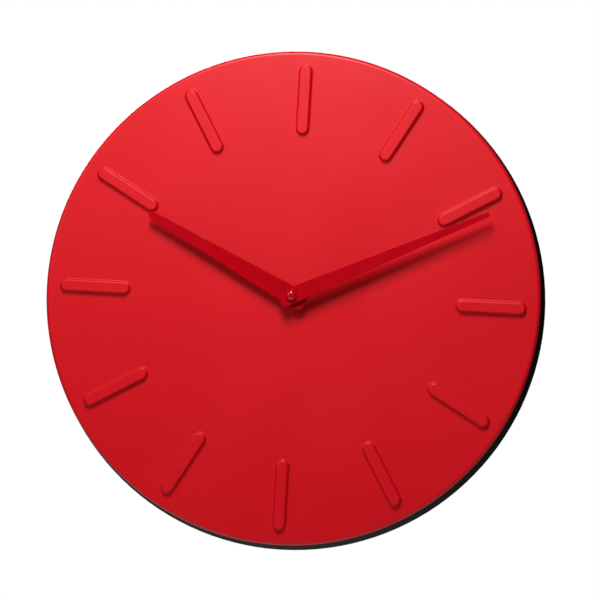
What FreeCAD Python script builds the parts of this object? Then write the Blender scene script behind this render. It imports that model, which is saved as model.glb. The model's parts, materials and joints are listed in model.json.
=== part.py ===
import FreeCAD, Part
import math
import os
import Sketcher
from types import SimpleNamespace
from FreeCAD import Placement, Rotation, Vector

# Wall clock, in millimetres. +Z is up and -Y is the side that faces the room.
# The origin is where the nail's shank rests, on the plane of the wall.
# Each sub-part is drawn about the hand axis, with Y counted backwards from the face's front
# plane, and its Placement then brings it to the clock. A wheel is drawn about its own arbor.

os.makedirs("parts", exist_ok=True)
doc = FreeCAD.newDocument("WallClock")
sheet = doc.addObject("Spreadsheet::Sheet", "Sizes")

# Driving dimensions. "depth" always means the distance behind a named plane.
SIZES = [
    ("face_diameter", 300.0, "red face, outside"),
    ("face_thickness", 2.4, "wall of the red moulding"),
    ("face_edge_round", 1.2, "radius of the front edge"),
    ("clock_depth", 30.0, "wall to the face's front plane"),
    ("hang_drop", 110.0, "nail to the hand axis"),
    ("spout_wall", 0.95, "wall of the movement's spout through the face"),
    ("spout_proud", 0.6, "spout in front of the face"),
    ("spout_clearance", 0.2, "radial gap between the spout and the face"),
    ("bar_count", 12, "hour bars"),
    ("bar_length", 43.0, "hour bar, end to end"),
    ("bar_width", 8.2, "hour bar at its foot"),
    ("bar_height", 3.0, "hour bar above the face"),
    ("bar_margin", 8.5, "face's rim to an hour bar's outer end"),
    ("bar_draft", 20.0, "degrees, slope of a bar's sides"),
    ("bar_wall", 1.3, "wall left over a bar's hollow back"),
    ("bar_top_round", 1.0, "radius round a bar's top"),
    ("boss_radius", 3.5, "screw boss behind the face"),
    ("boss_length", 6.6, "screw boss behind the face"),
    ("boss_pilot", 1.05, "radius of the screw's pilot hole"),
    ("face_screws", 6, "screws that hold the face"),
    ("face_screw_margin", 30.0, "face's rim to their centres"),
    ("skirt_inset", 0.6, "face's rim to the black body behind it"),
    ("skirt_flare", 2.0, "how far the body's back stands out past the face"),
    ("skirt_wall_gap", 1.5, "body's back edge to the wall"),
    ("skirt_wall", 2.2, "wall of the skirt"),
    ("web_thickness", 2.0, "black body's wall behind the face"),
    ("rib_count", 12, "radial ribs"),
    ("rib_height", 6.0, "ribs behind the web"),
    ("rib_thickness", 1.6, "ribs"),
    ("rib_ring_radius", 46.0, "inner ring rib, inside"),
    ("outer_ring_margin", 46.0, "face's rim to the outer ring rib"),
    ("well_radius", 5.6, "screw well, outside"),
    ("well_floor", 2.0, "screw well's floor"),
    ("pad_radius", 4.8, "rubber wall pad"),
    ("pad_thickness", 2.0, "rubber wall pad"),
    ("pad_count", 4, "rubber wall pads"),
    ("pad_land_sink", 1.0, "how far a land runs into the skirt"),
    ("pad_land_radius", 6.0, "moulded land under a pad"),
    ("pad_land_length", 6.0, "moulded land under a pad"),
    ("hanger_width", 44.0, "steel hanger plate"),
    ("hanger_height", 26.0, "steel hanger plate"),
    ("hanger_thickness", 1.2, "steel hanger plate"),
    ("hanger_inset", 3.5, "wall to the plate's back"),
    ("keyhole_slot", 4.4, "width of the narrow slot"),
    ("keyhole_entry", 9.5, "diameter of the round entry"),
    ("keyhole_travel", 9.0, "entry centre to the nail's seat"),
    ("post_spacing", 32.0, "hanger posts, centre to centre"),
    ("post_radius", 4.2, "hanger post"),
    ("hour_hand_length", 100.0, "axis to tip"),
    ("hour_hand_tail", 9.0, "axis to tail"),
    ("hour_hand_width", 11.8, "across the axis"),
    ("hour_hand_tip", 4.9, "across the tip"),
    ("hour_hand_height", 6.1, "face to the hand's back"),
    ("hour_hand_angle", 297.0, "degrees clockwise from twelve"),
    ("minute_hand_length", 129.0, "axis to tip"),
    ("minute_hand_tail", 7.6, "axis to tail"),
    ("minute_hand_width", 10.0, "across the axis"),
    ("minute_hand_tip", 2.9, "across the tip"),
    ("minute_hand_height", 9.2, "face to the hand's back"),
    ("minute_hand_angle", 64.5, "degrees clockwise from twelve"),
    ("hand_thickness", 0.8, "sheet of both hands"),
    ("hand_edge_round", 0.2, "front edge of both hands"),
    ("hour_tail_round", 3.6, "corners of the hour hand's tail"),
    ("minute_tail_round", 3.2, "corners of the minute hand's tail"),
    ("rivet_wall", 0.9, "wall of a collet's neck through its hand"),
    ("rivet_proud", 0.2, "collet's neck in front of its hand"),
    ("hour_tube_radius", 2.5, "tube that carries the hour hand"),
    ("minute_shaft_radius", 1.6, "shaft inside the tube"),
    ("hand_seat_radius", 1.25, "front end of the minute shaft"),
    ("cap_radius", 3.3, "hand cap"),
    ("cap_height", 3.0, "hand cap"),
    ("running_gap", 0.05, "radial gap of a turning fit"),
    ("snug_gap", 0.02, "radial gap of a pushed-on fit"),
    ("case_top", 21.0, "hand axis to the case's top"),
    ("case_tray_depth", 13.7, "front case, outside"),
    ("case_cover", 1.5, "rear case's plate"),
    ("case_wall", 1.5, "movement case wall and floor"),
    ("case_corner", 3.0, "movement case corner radius"),
    ("room_bottom", 17.0, "hand axis to the gear room's lower wall"),
    ("bay_top", 18.2, "hand axis to the battery bay's upper wall"),
    ("battery_side_room", 0.55, "cell to the bay's walls"),
    ("battery_floor_room", 0.2, "cell to the bay's floor"),
    ("battery_radius", 7.1, "AA cell over its sleeve"),
    ("battery_length", 49.2, "AA cell without its nub"),
    ("battery_nub", 1.3, "AA cell's positive nub"),
    ("spring_room", 1.7, "room for the negative contact's spring"),
    ("sleeve_wall", 0.15, "printed sleeve of the cell"),
    ("contact_sheet", 0.4, "battery contact"),
    ("lug_reach", 7.6, "screw lug beyond the case's side"),
    ("lug_depth", 5.0, "movement front to a lug"),
    ("lug_thickness", 2.0, "screw lug"),
    ("lug_height", 8.0, "screw lug"),
    ("lug_hole_inset", 3.5, "lug's end to its screw"),
    ("join", 0.5, "how far a boss or rib starts inside the wall that it stands on"),
    ("end_float", 0.1, "play of an arbor along its axis, at each end"),
    ("shaft_neck_step", 0.4, "centre shaft's radius to its neck"),
    ("hour_collet_length", 1.8, "flange of the hour hand's collet"),
    ("hour_collet_radius", 4.3, "flange of the hour hand's collet"),
    ("minute_collet_length", 1.4, "flange of the minute hand's collet"),
    ("minute_collet_radius", 3.4, "flange of the minute hand's collet"),
    ("cap_bore_depth", 2.0, "depth of the cap's bore"),
    ("plate_corner", 3.0, "corners of the hanger plate"),
    ("plate_centre_drop", 4.0, "nail's seat to the hanger plate's centre"),
    ("dial_screw_length", 7.5, "shank of a dial screw"),
    ("hanger_screw_length", 9.5, "shank of a hanger screw"),
    ("movement_screw_length", 6.0, "shank of a movement screw"),
    ("pillar_radius", 1.5, "bridge pillars and board posts"),
    ("pillar_pin", 0.9, "radius of the pins on the bridge pillars"),
    ("knob_gap", 0.3, "rear cover to the knob"),
    ("knob_edge", 0.6, "rounded edge of the knob"),
    ("knob_bore_depth", 3.0, "depth of the knob's bore"),
    ("groove_radius", 0.5, "grip grooves round the knob"),
    ("groove_out", 0.15, "groove's centre beyond the knob's side"),
    ("groove_count", 24, "grip grooves round the knob"),
    ("knob_rim", 1.8, "rim round the knob's dish"),
    ("dish_depth", 0.5, "dish in the knob's back"),
    ("screw_shank", 1.0, "radius of the screws' shanks"),
    ("screw_hole", 1.5, "radius of the clearance holes for screws"),
    ("screw_head_radius", 2.625, "pan heads"),
    ("screw_head_height", 1.7, "pan heads"),
    ("screw_recess", 0.9, "depth of the cross in a head"),
    ("screw_cross_reach", 1.5, "centre to the end of a cross's arm"),
    ("screw_cross_half", 0.375, "half the width of a cross's arm"),
    ("train_module", 0.2, "gears of the drive train"),
    ("centre_module", 0.235, "centre wheel and third pinion"),
    ("hands_module", 0.36, "cannon pinion, minute wheel, setting pinion"),
    ("centre_teeth", 64, "centre wheel"),
    ("third_teeth", 60, "third wheel"),
    ("seconds_teeth", 48, "seconds wheel"),
    ("intermediate_teeth", 45, "intermediate wheel"),
    ("pinion_teeth", 8, "third, seconds and intermediate pinions"),
    ("rotor_teeth", 9, "rotor pinion"),
    ("cannon_teeth", 12, "cannon pinion on the centre shaft"),
    ("minute_teeth", 36, "minute wheel"),
    ("minute_pinion_teeth", 10, "minute wheel's pinion"),
    ("hour_teeth", 40, "hour wheel"),
    ("setting_teeth", 14, "setting stem's pinion"),
    ("third_angle", 155.0, "degrees, centre arbor to third arbor"),
    ("seconds_angle", 70.0, "degrees, third arbor to seconds arbor"),
    ("intermediate_angle", 10.0, "degrees, seconds arbor to intermediate arbor"),
    ("rotor_angle", -5.0, "degrees, intermediate arbor to rotor"),
    ("minute_angle", 215.0, "degrees, centre arbor to minute wheel"),
    ("setting_angle", 195.0, "degrees, minute wheel to setting stem"),
    ("wheel_face", 0.8, "face width of the train's wheels"),
    ("motion_face", 1.0, "face width of the hour and minute wheels"),
    ("pinion_face", 1.2, "face width of the train's pinions"),
    ("hour_layer", 2.0, "movement front to the hour wheel"),
    ("minute_layer", 3.5, "movement front to the minute wheel"),
    ("centre_layer", 5.4, "movement front to the centre wheel"),
    ("third_layer", 7.2, "movement front to the third wheel"),
    ("seconds_layer", 8.8, "movement front to the seconds wheel"),
    ("intermediate_layer", 10.4, "movement front to the intermediate wheel"),
    ("stator_layer", 7.4, "movement front to the stator"),
    ("stator_thickness", 1.0, "stator and coil core"),
    ("bridge_layer", 12.0, "movement front to the train bridge"),
    ("bridge_thickness", 1.2, "train bridge"),
    ("board_layer", 9.5, "movement front to the circuit board"),
    ("board_thickness", 1.0, "circuit board"),
    ("pivot_radius", 0.4, "pivots of all arbors"),
    ("pivot_length", 1.1, "pivots of all arbors"),
    ("arbor_radius", 0.7, "arbors of the drive train"),
    ("magnet_radius", 3.0, "rotor magnet"),
    ("magnet_length", 2.2, "rotor magnet"),
    ("knob_radius", 7.0, "setting knob"),
    ("knob_height", 4.0, "setting knob"),
    ("stem_radius", 1.6, "setting stem"),
]

# The shape of a gear tooth, as shares of the module and of the tooth pitch.
TOOTH_ABOVE = 0.8
TOOTH_BELOW = 1.1
TOOTH_AT_PITCH = 0.45
TOOTH_AT_TIP = 0.2
TOOTH_AT_ROOT = 0.5


class Size:
    """A number together with the spreadsheet formula that gives it."""

    def __init__(self, value, formula):
        self.value = value
        self.formula = formula

    def __add__(self, other):
        other = as_size(other)
        return Size(self.value + other.value, "(%s + %s)" % (self.formula, other.formula))

    def __sub__(self, other):
        other = as_size(other)
        return Size(self.value - other.value, "(%s - %s)" % (self.formula, other.formula))

    def __mul__(self, other):
        other = as_size(other)
        return Size(self.value * other.value, "(%s * %s)" % (self.formula, other.formula))

    def __truediv__(self, other):
        other = as_size(other)
        return Size(self.value / other.value, "(%s / %s)" % (self.formula, other.formula))

    def __neg__(self):
        return Size(-self.value, "(0 - %s)" % self.formula)

    def __radd__(self, other):
        return as_size(other) + self

    def __rsub__(self, other):
        return as_size(other) - self

    def __rmul__(self, other):
        return as_size(other) * self


def as_size(item):
    if isinstance(item, Size):
        return item
    return Size(float(item), "(%.6f)" % item)


def cosine(angle):
    angle = as_size(angle)
    return Size(math.cos(math.radians(angle.value)), "cos(%s * 1 deg)" % angle.formula)


def sine(angle):
    angle = as_size(angle)
    return Size(math.sin(math.radians(angle.value)), "sin(%s * 1 deg)" % angle.formula)


def fill_sheet():
    for row, (name, value, note) in enumerate(SIZES, start=1):
        sheet.set("A%d" % row, name)
        sheet.set("B%d" % row, "%g" % value)
        sheet.set("C%d" % row, note)
        sheet.setAlias("B%d" % row, name)
    doc.recompute()
    sizes = {name: Size(float(value), "Sizes.%s" % name) for name, value, note in SIZES}
    return SimpleNamespace(**sizes)


S = fill_sheet()


# ---------------------------------------------------------------- sketches and features


def bind(owner, prop, size):
    """Ties a property or constraint to its spreadsheet formula."""
    owner.setExpression(prop, as_size(size).formula)


def new_body(node, x=0.0, z=0.0):
    """A sub-part that hangs at the hand axis, or at the arbor (x, z) from it."""
    body = doc.addObject("PartDesign::Body", node)
    body.Label = node
    body.AllowCompound = True
    place(body, x, z)
    return body


def place(item, x=0.0, z=0.0):
    x, z = as_size(x), as_size(z) - S.hang_drop
    item.Placement.Base = Vector(x.value, -S.clock_depth.value, z.value)
    bind(item, "Placement.Base.x", x)
    bind(item, "Placement.Base.y", -S.clock_depth)
    bind(item, "Placement.Base.z", z)


def turn_to(body, angle):
    """Turns a hand clockwise from twelve, as seen from the front."""
    body.Placement.Rotation = Rotation(Vector(0, 1, 0), angle.value)
    bind(body, "Placement.Rotation.Angle", angle)


def origin_plane(body, role):
    return [item for item in body.Origin.OriginFeatures if item.Role == role][0]


def facing_sketch(body, name, depth, angle=0.0):
    """A sketch that faces the room, at a depth behind the face. X is right and Y is up."""
    sketch = body.newObject("Sketcher::SketchObject", name)
    sketch.AttachmentSupport = [(origin_plane(body, "XZ_Plane"), "")]
    sketch.MapMode = "FlatFace"
    depth, angle = as_size(depth), as_size(angle)
    turned_by = Rotation(Vector(0, 0, 1), angle.value)
    sketch.AttachmentOffset = Placement(Vector(0, 0, -depth.value), turned_by)
    bind(sketch, "AttachmentOffset.Base.z", -depth)
    if angle.value:
        bind(sketch, "AttachmentOffset.Rotation.Angle", angle)
    return sketch


def section_sketch(body, name, x=0.0, z=0.0):
    """A half section beside an axis at (x, z). X is the radius and Y is the depth."""
    sketch = body.newObject("Sketcher::SketchObject", name)
    sketch.AttachmentSupport = [(origin_plane(body, "XY_Plane"), "")]
    sketch.MapMode = "FlatFace"
    x, z = as_size(x), as_size(z)
    sketch.AttachmentOffset = Placement(Vector(x.value, 0, z.value), Rotation())
    bind(sketch, "AttachmentOffset.Base.x", x)
    bind(sketch, "AttachmentOffset.Base.z", z)
    return sketch


def fix_point(sketch, geometry, point, x, y):
    for kind, size in (("DistanceX", as_size(x)), ("DistanceY", as_size(y))):
        rule = Sketcher.Constraint(kind, -1, 1, geometry, point, size.value)
        bind(sketch, "Constraints[%d]" % sketch.addConstraint(rule), size)


def draw_circle(sketch, x, y, radius):
    x, y, radius = as_size(x), as_size(y), as_size(radius)
    shape = Part.Circle(Vector(x.value, y.value, 0), Vector(0, 0, 1), radius.value)
    index = sketch.addGeometry(shape)
    rule = Sketcher.Constraint("Radius", index, radius.value)
    bind(sketch, "Constraints[%d]" % sketch.addConstraint(rule), radius)
    fix_point(sketch, index, 3, x, y)


def draw_polygon(sketch, points):
    points = [(as_size(x), as_size(y)) for x, y in points]
    corners = [Vector(x.value, y.value, 0) for x, y in points]
    following = corners[1:] + corners[:1]
    lines = [sketch.addGeometry(Part.LineSegment(a, b)) for a, b in zip(corners, following)]
    for line, after in zip(lines, lines[1:] + lines[:1]):
        sketch.addConstraint(Sketcher.Constraint("Coincident", line, 2, after, 1))
    for line, (x, y) in zip(lines, points):
        fix_point(sketch, line, 1, x, y)


def draw_box(sketch, left, right, low, high):
    draw_polygon(sketch, [(left, low), (right, low), (right, high), (left, high)])


def draw_stadium(sketch, low, high, radius):
    """An upright slot outline on the sketch's vertical axis, between two end centres."""
    low, high, radius = as_size(low), as_size(high), as_size(radius)
    top, bottom, r = Vector(0, high.value, 0), Vector(0, low.value, 0), radius.value
    normal = Vector(0, 0, 1)
    upper = sketch.addGeometry(Part.ArcOfCircle(Part.Circle(top, normal, r), 0, math.pi))
    lower = sketch.addGeometry(Part.ArcOfCircle(Part.Circle(bottom, normal, r), math.pi, 2 * math.pi))
    side = Vector(r, 0, 0)
    left = sketch.addGeometry(Part.LineSegment(top - side, bottom - side))
    right = sketch.addGeometry(Part.LineSegment(bottom + side, top + side))
    outline = [upper, left, lower, right]
    for first, second in zip(outline, outline[1:] + outline[:1]):
        sketch.addConstraint(Sketcher.Constraint("Tangent", first, 2, second, 1))
    rule = Sketcher.Constraint("Radius", upper, r)
    bind(sketch, "Constraints[%d]" % sketch.addConstraint(rule), radius)
    for arc, centre in ((upper, high), (lower, low)):
        sketch.addConstraint(Sketcher.Constraint("PointOnObject", arc, 3, -2))
        rule = Sketcher.Constraint("DistanceY", -1, 1, arc, 3, centre.value)
        bind(sketch, "Constraints[%d]" % sketch.addConstraint(rule), centre)


def step_done(body, feature):
    body.Tip = feature
    doc.recompute()
    return feature


def pad(body, sketch, length):
    """Adds material backwards from the sketch."""
    feature = body.newObject("PartDesign::Pad", sketch.Name + "_pad")
    feature.Profile = sketch
    feature.Reversed = True
    bind(feature, "Length", length)
    return step_done(body, feature)


def pocket(body, sketch, length):
    """Cuts backwards from the sketch."""
    before = body.Shape.Volume
    feature = body.newObject("PartDesign::Pocket", sketch.Name + "_cut")
    feature.Profile = sketch
    bind(feature, "Length", length)
    step_done(body, feature)
    if body.Shape.Volume >= before:
        raise RuntimeError("%s cuts nothing" % feature.Name)
    return feature


def add_disc(body, name, radius, start, end, x=0.0, z=0.0):
    sketch = facing_sketch(body, name, start)
    draw_circle(sketch, x, z, radius)
    return pad(body, sketch, as_size(end) - start)


def cut_disc(body, name, radius, start, end, x=0.0, z=0.0):
    sketch = facing_sketch(body, name, start)
    draw_circle(sketch, x, z, radius)
    return pocket(body, sketch, as_size(end) - start)


def add_block(body, name, left, right, low, high, start, end):
    sketch = facing_sketch(body, name, start)
    draw_box(sketch, left, right, low, high)
    return pad(body, sketch, as_size(end) - start)


def cut_block(body, name, left, right, low, high, start, end):
    sketch = facing_sketch(body, name, start)
    draw_box(sketch, left, right, low, high)
    return pocket(body, sketch, as_size(end) - start)


def revolve(body, name, points, x=0.0, z=0.0):
    """Turns a half section, given as (radius, depth) corners, about its axis."""
    sketch = section_sketch(body, name, x, z)
    draw_polygon(sketch, points)
    feature = body.newObject("PartDesign::Revolution", name + "_turned")
    feature.Profile = sketch
    feature.ReferenceAxis = (sketch, ["V_Axis"])
    feature.Angle = 360
    return step_done(body, feature)


def revolve_steps(body, name, steps, bore=0.0, x=0.0, z=0.0):
    """A stepped shaft or ring from (start, end, radius) lengths that follow each other."""
    points = [(bore, steps[0][0])]
    for start, end, radius in steps:
        points += [(radius, start), (radius, end)]
    points.append((bore, steps[-1][1]))
    return revolve(body, name, points, x, z)


def repeat_round(body, name, features, count):
    """Repeats features round the hand axis or the wheel's own axis."""
    pattern = body.newObject("PartDesign::PolarPattern", name)
    pattern.Originals = features
    pattern.Axis = (origin_plane(body, "Y_Axis"), [""])
    pattern.Angle = 360
    bind(pattern, "Occurrences", count)
    return step_done(body, pattern)


def round_edges(body, name, radius, chosen):
    """Rounds the edges of the body that the test picks."""
    tip = body.Tip
    names = ["Edge%d" % n for n, edge in enumerate(tip.Shape.Edges, start=1) if chosen(edge)]
    feature = body.newObject("PartDesign::Fillet", name)
    feature.Base = (tip, names)
    bind(feature, "Radius", radius)
    return step_done(body, feature)


def flat_at(edge, depth):
    """Whether an edge lies in the plane at this depth behind the face."""
    box = edge.BoundBox
    return abs(box.YMin - depth.value) < 0.001 and abs(box.YMax - depth.value) < 0.001


def runs_back(edge):
    """Whether an edge is straight and runs from front to back."""
    box = edge.BoundBox
    return box.XLength < 0.001 and box.ZLength < 0.001 and box.YLength > 0.1


# ---------------------------------------------------------------- where things are


def inside(layer):
    """Depth behind the face of a distance behind the movement's front."""
    return S.face_thickness + S.web_thickness + layer


def beside(arbor, distance, angle):
    return arbor[0] + distance * cosine(angle), arbor[1] + distance * sine(angle)


def gear_distance(module, teeth, other_teeth):
    return module * (teeth + other_teeth) / 2


def minute_pinion_module():
    """Gives the hour wheel and the minute pinion the same distance as the pair in front of them."""
    return S.hands_module * (S.minute_teeth + S.cannon_teeth) / (S.hour_teeth + S.minute_pinion_teeth)


CENTRE = (as_size(0), as_size(0))
THIRD = beside(CENTRE, gear_distance(S.centre_module, S.centre_teeth, S.pinion_teeth), S.third_angle)
SECONDS = beside(THIRD, gear_distance(S.train_module, S.third_teeth, S.pinion_teeth), S.seconds_angle)
INTERMEDIATE = beside(
    SECONDS, gear_distance(S.train_module, S.seconds_teeth, S.pinion_teeth), S.intermediate_angle
)
ROTOR = beside(
    INTERMEDIATE, gear_distance(S.train_module, S.intermediate_teeth, S.rotor_teeth), S.rotor_angle
)
MINUTE = beside(CENTRE, gear_distance(S.hands_module, S.minute_teeth, S.cannon_teeth), S.minute_angle)
SETTING = beside(MINUTE, gear_distance(S.hands_module, S.minute_teeth, S.setting_teeth), S.setting_angle)

FACE_RADIUS = S.face_diameter / 2
BAR_OUTER = FACE_RADIUS - S.bar_margin
FACE_SCREW_CIRCLE = FACE_RADIUS - S.face_screw_margin
SKIRT_FRONT = FACE_RADIUS - S.skirt_inset
SKIRT_BACK = FACE_RADIUS + S.skirt_flare
PAD_CIRCLE = SKIRT_BACK - S.skirt_wall - S.pad_land_radius + S.pad_land_sink
SPOUT_RADIUS = S.hour_tube_radius + S.running_gap + S.spout_wall

ROOM_SIDE = (S.battery_length + S.battery_nub + 2 * S.contact_sheet + S.spring_room) / 2
CASE_SIDE = ROOM_SIDE + S.case_wall
ROOM_TOP = S.case_top - S.case_wall
BATTERY_DROP = S.bay_top + S.battery_side_room + S.battery_radius
BATTERY_DEPTH = S.case_wall + S.battery_floor_room + S.battery_radius
BAY_BOTTOM = BATTERY_DROP + S.battery_radius + S.battery_side_room
CASE_BOTTOM = BAY_BOTTOM + S.case_wall
SHAFT_NECK = S.minute_shaft_radius - S.shaft_neck_step
PIVOT_HOLE = S.pivot_radius + S.running_gap
BRIDGE_PILLARS = [(-13.5, 13.5), (2.5, 17.5), (3.0, -12.5)]
BOARD_POSTS = [(9.5, -9.0), (23.0, -9.0)]
BOARD_LEFT, BOARD_TOP = 6.0, -6.0
COIL_X, COIL_LOW, COIL_HIGH = 20.0, -1.3, 12.0
CORE_LOW, CORE_HIGH = -4.5, 18.5
HANGER_BACK = S.clock_depth - S.hanger_inset
HANGER_FRONT = HANGER_BACK - S.hanger_thickness
HANGER_CENTRE = S.hang_drop - S.plate_centre_drop
WELL_BACK = S.face_thickness + S.boss_length + S.well_floor
LUG_SCREW_X = CASE_SIDE + S.lug_reach - S.lug_hole_inset


# ---------------------------------------------------------------- gears


def root_radius(module, teeth):
    return module * teeth / 2 - module * TOOTH_BELOW


def teeth_round(body, name, module, teeth, start, face, tooth_angle):
    """Teeth round a root disc, the first of them pointing at the angle."""
    pitch = module * math.pi
    pitch_radius = module * teeth / 2
    foot = root_radius(module, teeth)
    sketch = facing_sketch(body, name, start, as_size(tooth_angle) - 90)
    half_root = pitch * TOOTH_AT_ROOT / 2
    half_pitch = pitch * TOOTH_AT_PITCH / 2
    half_tip = pitch * TOOTH_AT_TIP / 2
    sunk = foot - module * 0.5
    tip = pitch_radius + module * TOOTH_ABOVE
    left = [(-half_root, sunk), (-half_root, foot), (-half_pitch, pitch_radius), (-half_tip, tip)]
    right = [(half_tip, tip), (half_pitch, pitch_radius), (half_root, foot), (half_root, sunk)]
    draw_polygon(sketch, left + right)
    tooth = pad(body, sketch, face)
    return repeat_round(body, name + "_ring", [tooth], teeth)


def opposite_gap(angle, teeth):
    """Tooth angle of a wheel that holds a gap towards the pinion lying at the angle."""
    return angle + as_size(180) / teeth


# ---------------------------------------------------------------- face and body


def build_dial():
    body = new_body("dial")
    hole = SPOUT_RADIUS + S.spout_clearance
    revolve_steps(body, "face_section", [(0, S.face_thickness, FACE_RADIUS)], bore=hole)

    foot_radius = S.bar_width / 2
    outer_centre = BAR_OUTER - foot_radius
    inner_centre = BAR_OUTER - S.bar_length + foot_radius
    foot = facing_sketch(body, "bar_foot", 0)
    draw_stadium(foot, inner_centre, outer_centre, foot_radius)
    bar = body.newObject("PartDesign::Pad", "bar")
    bar.Profile = foot
    bind(bar, "Length", S.bar_height)
    bind(bar, "TaperAngle", -S.bar_draft)
    step_done(body, bar)
    bars = repeat_round(body, "bars", [bar], S.bar_count)

    hollow_radius = foot_radius - S.bar_wall - 0.5
    hollow = facing_sketch(body, "bar_hollow", S.bar_wall - S.bar_height)
    draw_stadium(hollow, inner_centre, outer_centre, hollow_radius)
    hollowed = pocket(body, hollow, S.face_thickness + S.bar_height)
    repeat_round(body, "bar_hollows", [hollowed], S.bar_count)

    boss_back = S.face_thickness + S.boss_length
    boss = add_disc(body, "boss", S.boss_radius, S.face_thickness - S.join, boss_back, FACE_SCREW_CIRCLE)
    repeat_round(body, "bosses", [boss], S.face_screws)
    pilot = cut_disc(body, "pilot", S.boss_pilot, S.face_thickness + S.join, boss_back, FACE_SCREW_CIRCLE)
    repeat_round(body, "pilots", [pilot], S.face_screws)

    top = -S.bar_height
    round_edges(body, "bar_tops_round", S.bar_top_round, lambda edge: flat_at(edge, top))
    front = as_size(0)
    round_edges(
        body,
        "face_edge",
        S.face_edge_round,
        lambda edge: flat_at(edge, front) and edge.BoundBox.XLength > S.face_diameter.value - 1,
    )


def build_case_body():
    body = new_body("case_body")
    web_front = S.face_thickness
    web_back = S.face_thickness + S.web_thickness
    skirt_back = S.clock_depth - S.skirt_wall_gap
    hole = SPOUT_RADIUS + S.spout_clearance
    rim_inside = SKIRT_FRONT - S.skirt_wall
    profile = [
        (hole, web_front),
        (SKIRT_FRONT, web_front),
        (SKIRT_BACK, skirt_back),
        (SKIRT_BACK - S.skirt_wall, skirt_back),
        (rim_inside, web_back),
        (hole, web_back),
    ]
    revolve(body, "shell_section", profile)

    rib_back = web_back + S.rib_height
    rings = {"inner_ring": S.rib_ring_radius, "outer_ring": FACE_RADIUS - S.outer_ring_margin}
    for name, radius in rings.items():
        ring = facing_sketch(body, name, web_back - S.join)
        draw_circle(ring, 0, 0, radius)
        draw_circle(ring, 0, 0, radius + S.rib_thickness)
        pad(body, ring, S.rib_height + S.join)
    rib_sketch = facing_sketch(body, "rib", web_back - S.join, 15)
    half = S.rib_thickness / 2
    draw_box(rib_sketch, -half, half, S.rib_ring_radius + 0.5, rim_inside + 0.6)
    rib = pad(body, rib_sketch, S.rib_height + S.join)
    repeat_round(body, "ribs", [rib], S.rib_count)

    well = add_disc(body, "well", S.well_radius, web_back - S.join, WELL_BACK, FACE_SCREW_CIRCLE)
    repeat_round(body, "wells", [well], S.face_screws)
    boss_room = cut_disc(
        body,
        "boss_room",
        S.boss_radius + S.spout_clearance,
        web_front - S.join,
        WELL_BACK - S.well_floor,
        FACE_SCREW_CIRCLE,
    )
    repeat_round(body, "boss_rooms", [boss_room], S.face_screws)
    floor = WELL_BACK - S.well_floor
    shank = cut_disc(body, "shank_hole", S.screw_hole, floor - S.join, WELL_BACK, FACE_SCREW_CIRCLE)
    repeat_round(body, "shank_holes", [shank], S.face_screws)

    pad_front = S.clock_depth - S.pad_thickness
    land = facing_sketch(body, "pad_land", pad_front - S.pad_land_length, -45)
    draw_circle(land, 0, PAD_CIRCLE, S.pad_land_radius)
    landed = pad(body, land, S.pad_land_length)
    repeat_round(body, "pad_lands", [landed], S.pad_count)

    for side, name in ((-1, "left"), (1, "right")):
        x = side * S.post_spacing / 2
        add_disc(body, name + "_post", S.post_radius, web_back - S.join, HANGER_FRONT, x, HANGER_CENTRE)
        cut_disc(body, name + "_post_pilot", S.boss_pilot, HANGER_FRONT - 9, HANGER_FRONT, x, HANGER_CENTRE)
        lug_x = side * LUG_SCREW_X
        lug_front = inside(S.lug_depth)
        add_disc(body, name + "_lug_boss", S.boss_radius, web_back - S.join, lug_front, lug_x, 0)
        cut_disc(body, name + "_lug_pilot", S.boss_pilot, lug_front - 4.5, lug_front, lug_x, 0)

    round_edges(
        body,
        "back_edge",
        0.6,
        lambda edge: flat_at(edge, skirt_back) and edge.BoundBox.XLength > 2 * SKIRT_BACK.value - 1,
    )


def build_screw(body, name, seat, length, x, z):
    """A pan-head screw whose head bears at the seat depth and whose shank points forwards."""
    x, z, seat = as_size(x), as_size(z), as_size(seat)
    back = seat + S.screw_head_height
    steps = [(seat - length, seat, S.screw_shank), (seat, back, S.screw_head_radius)]
    shank = revolve_steps(body, name, steps, x=x, z=z)
    recess = back - S.screw_recess
    reach, half = S.screw_cross_reach, S.screw_cross_half
    across = cut_block(body, name + "_slot", x - reach, x + reach, z - half, z + half, recess, back)
    upright = cut_block(body, name + "_cross", x - half, x + half, z - reach, z + reach, recess, back)
    return [shank, across, upright]


def build_dial_screws():
    body = new_body("dial_screws")
    features = build_screw(body, "dial_screw", WELL_BACK, S.dial_screw_length, FACE_SCREW_CIRCLE, 0)
    repeat_round(body, "dial_screw_ring", features, S.face_screws)


def build_hanger_screws():
    body = new_body("hanger_screws")
    for side, name in ((-1, "left"), (1, "right")):
        x = side * S.post_spacing / 2
        build_screw(body, name + "_hanger_screw", HANGER_BACK, S.hanger_screw_length, x, HANGER_CENTRE)


def build_movement_screws():
    body = new_body("movement_screws")
    seat = inside(S.lug_depth + S.lug_thickness)
    for side, name in ((-1, "left"), (1, "right")):
        build_screw(body, name + "_movement_screw", seat, S.movement_screw_length, side * LUG_SCREW_X, 0)


def build_wall_pads():
    body = new_body("wall_pads")
    sketch = facing_sketch(body, "wall_pad", S.clock_depth - S.pad_thickness, -45)
    draw_circle(sketch, 0, PAD_CIRCLE, S.pad_radius)
    repeat_round(body, "wall_pad_ring", [pad(body, sketch, S.pad_thickness)], S.pad_count)


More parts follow.
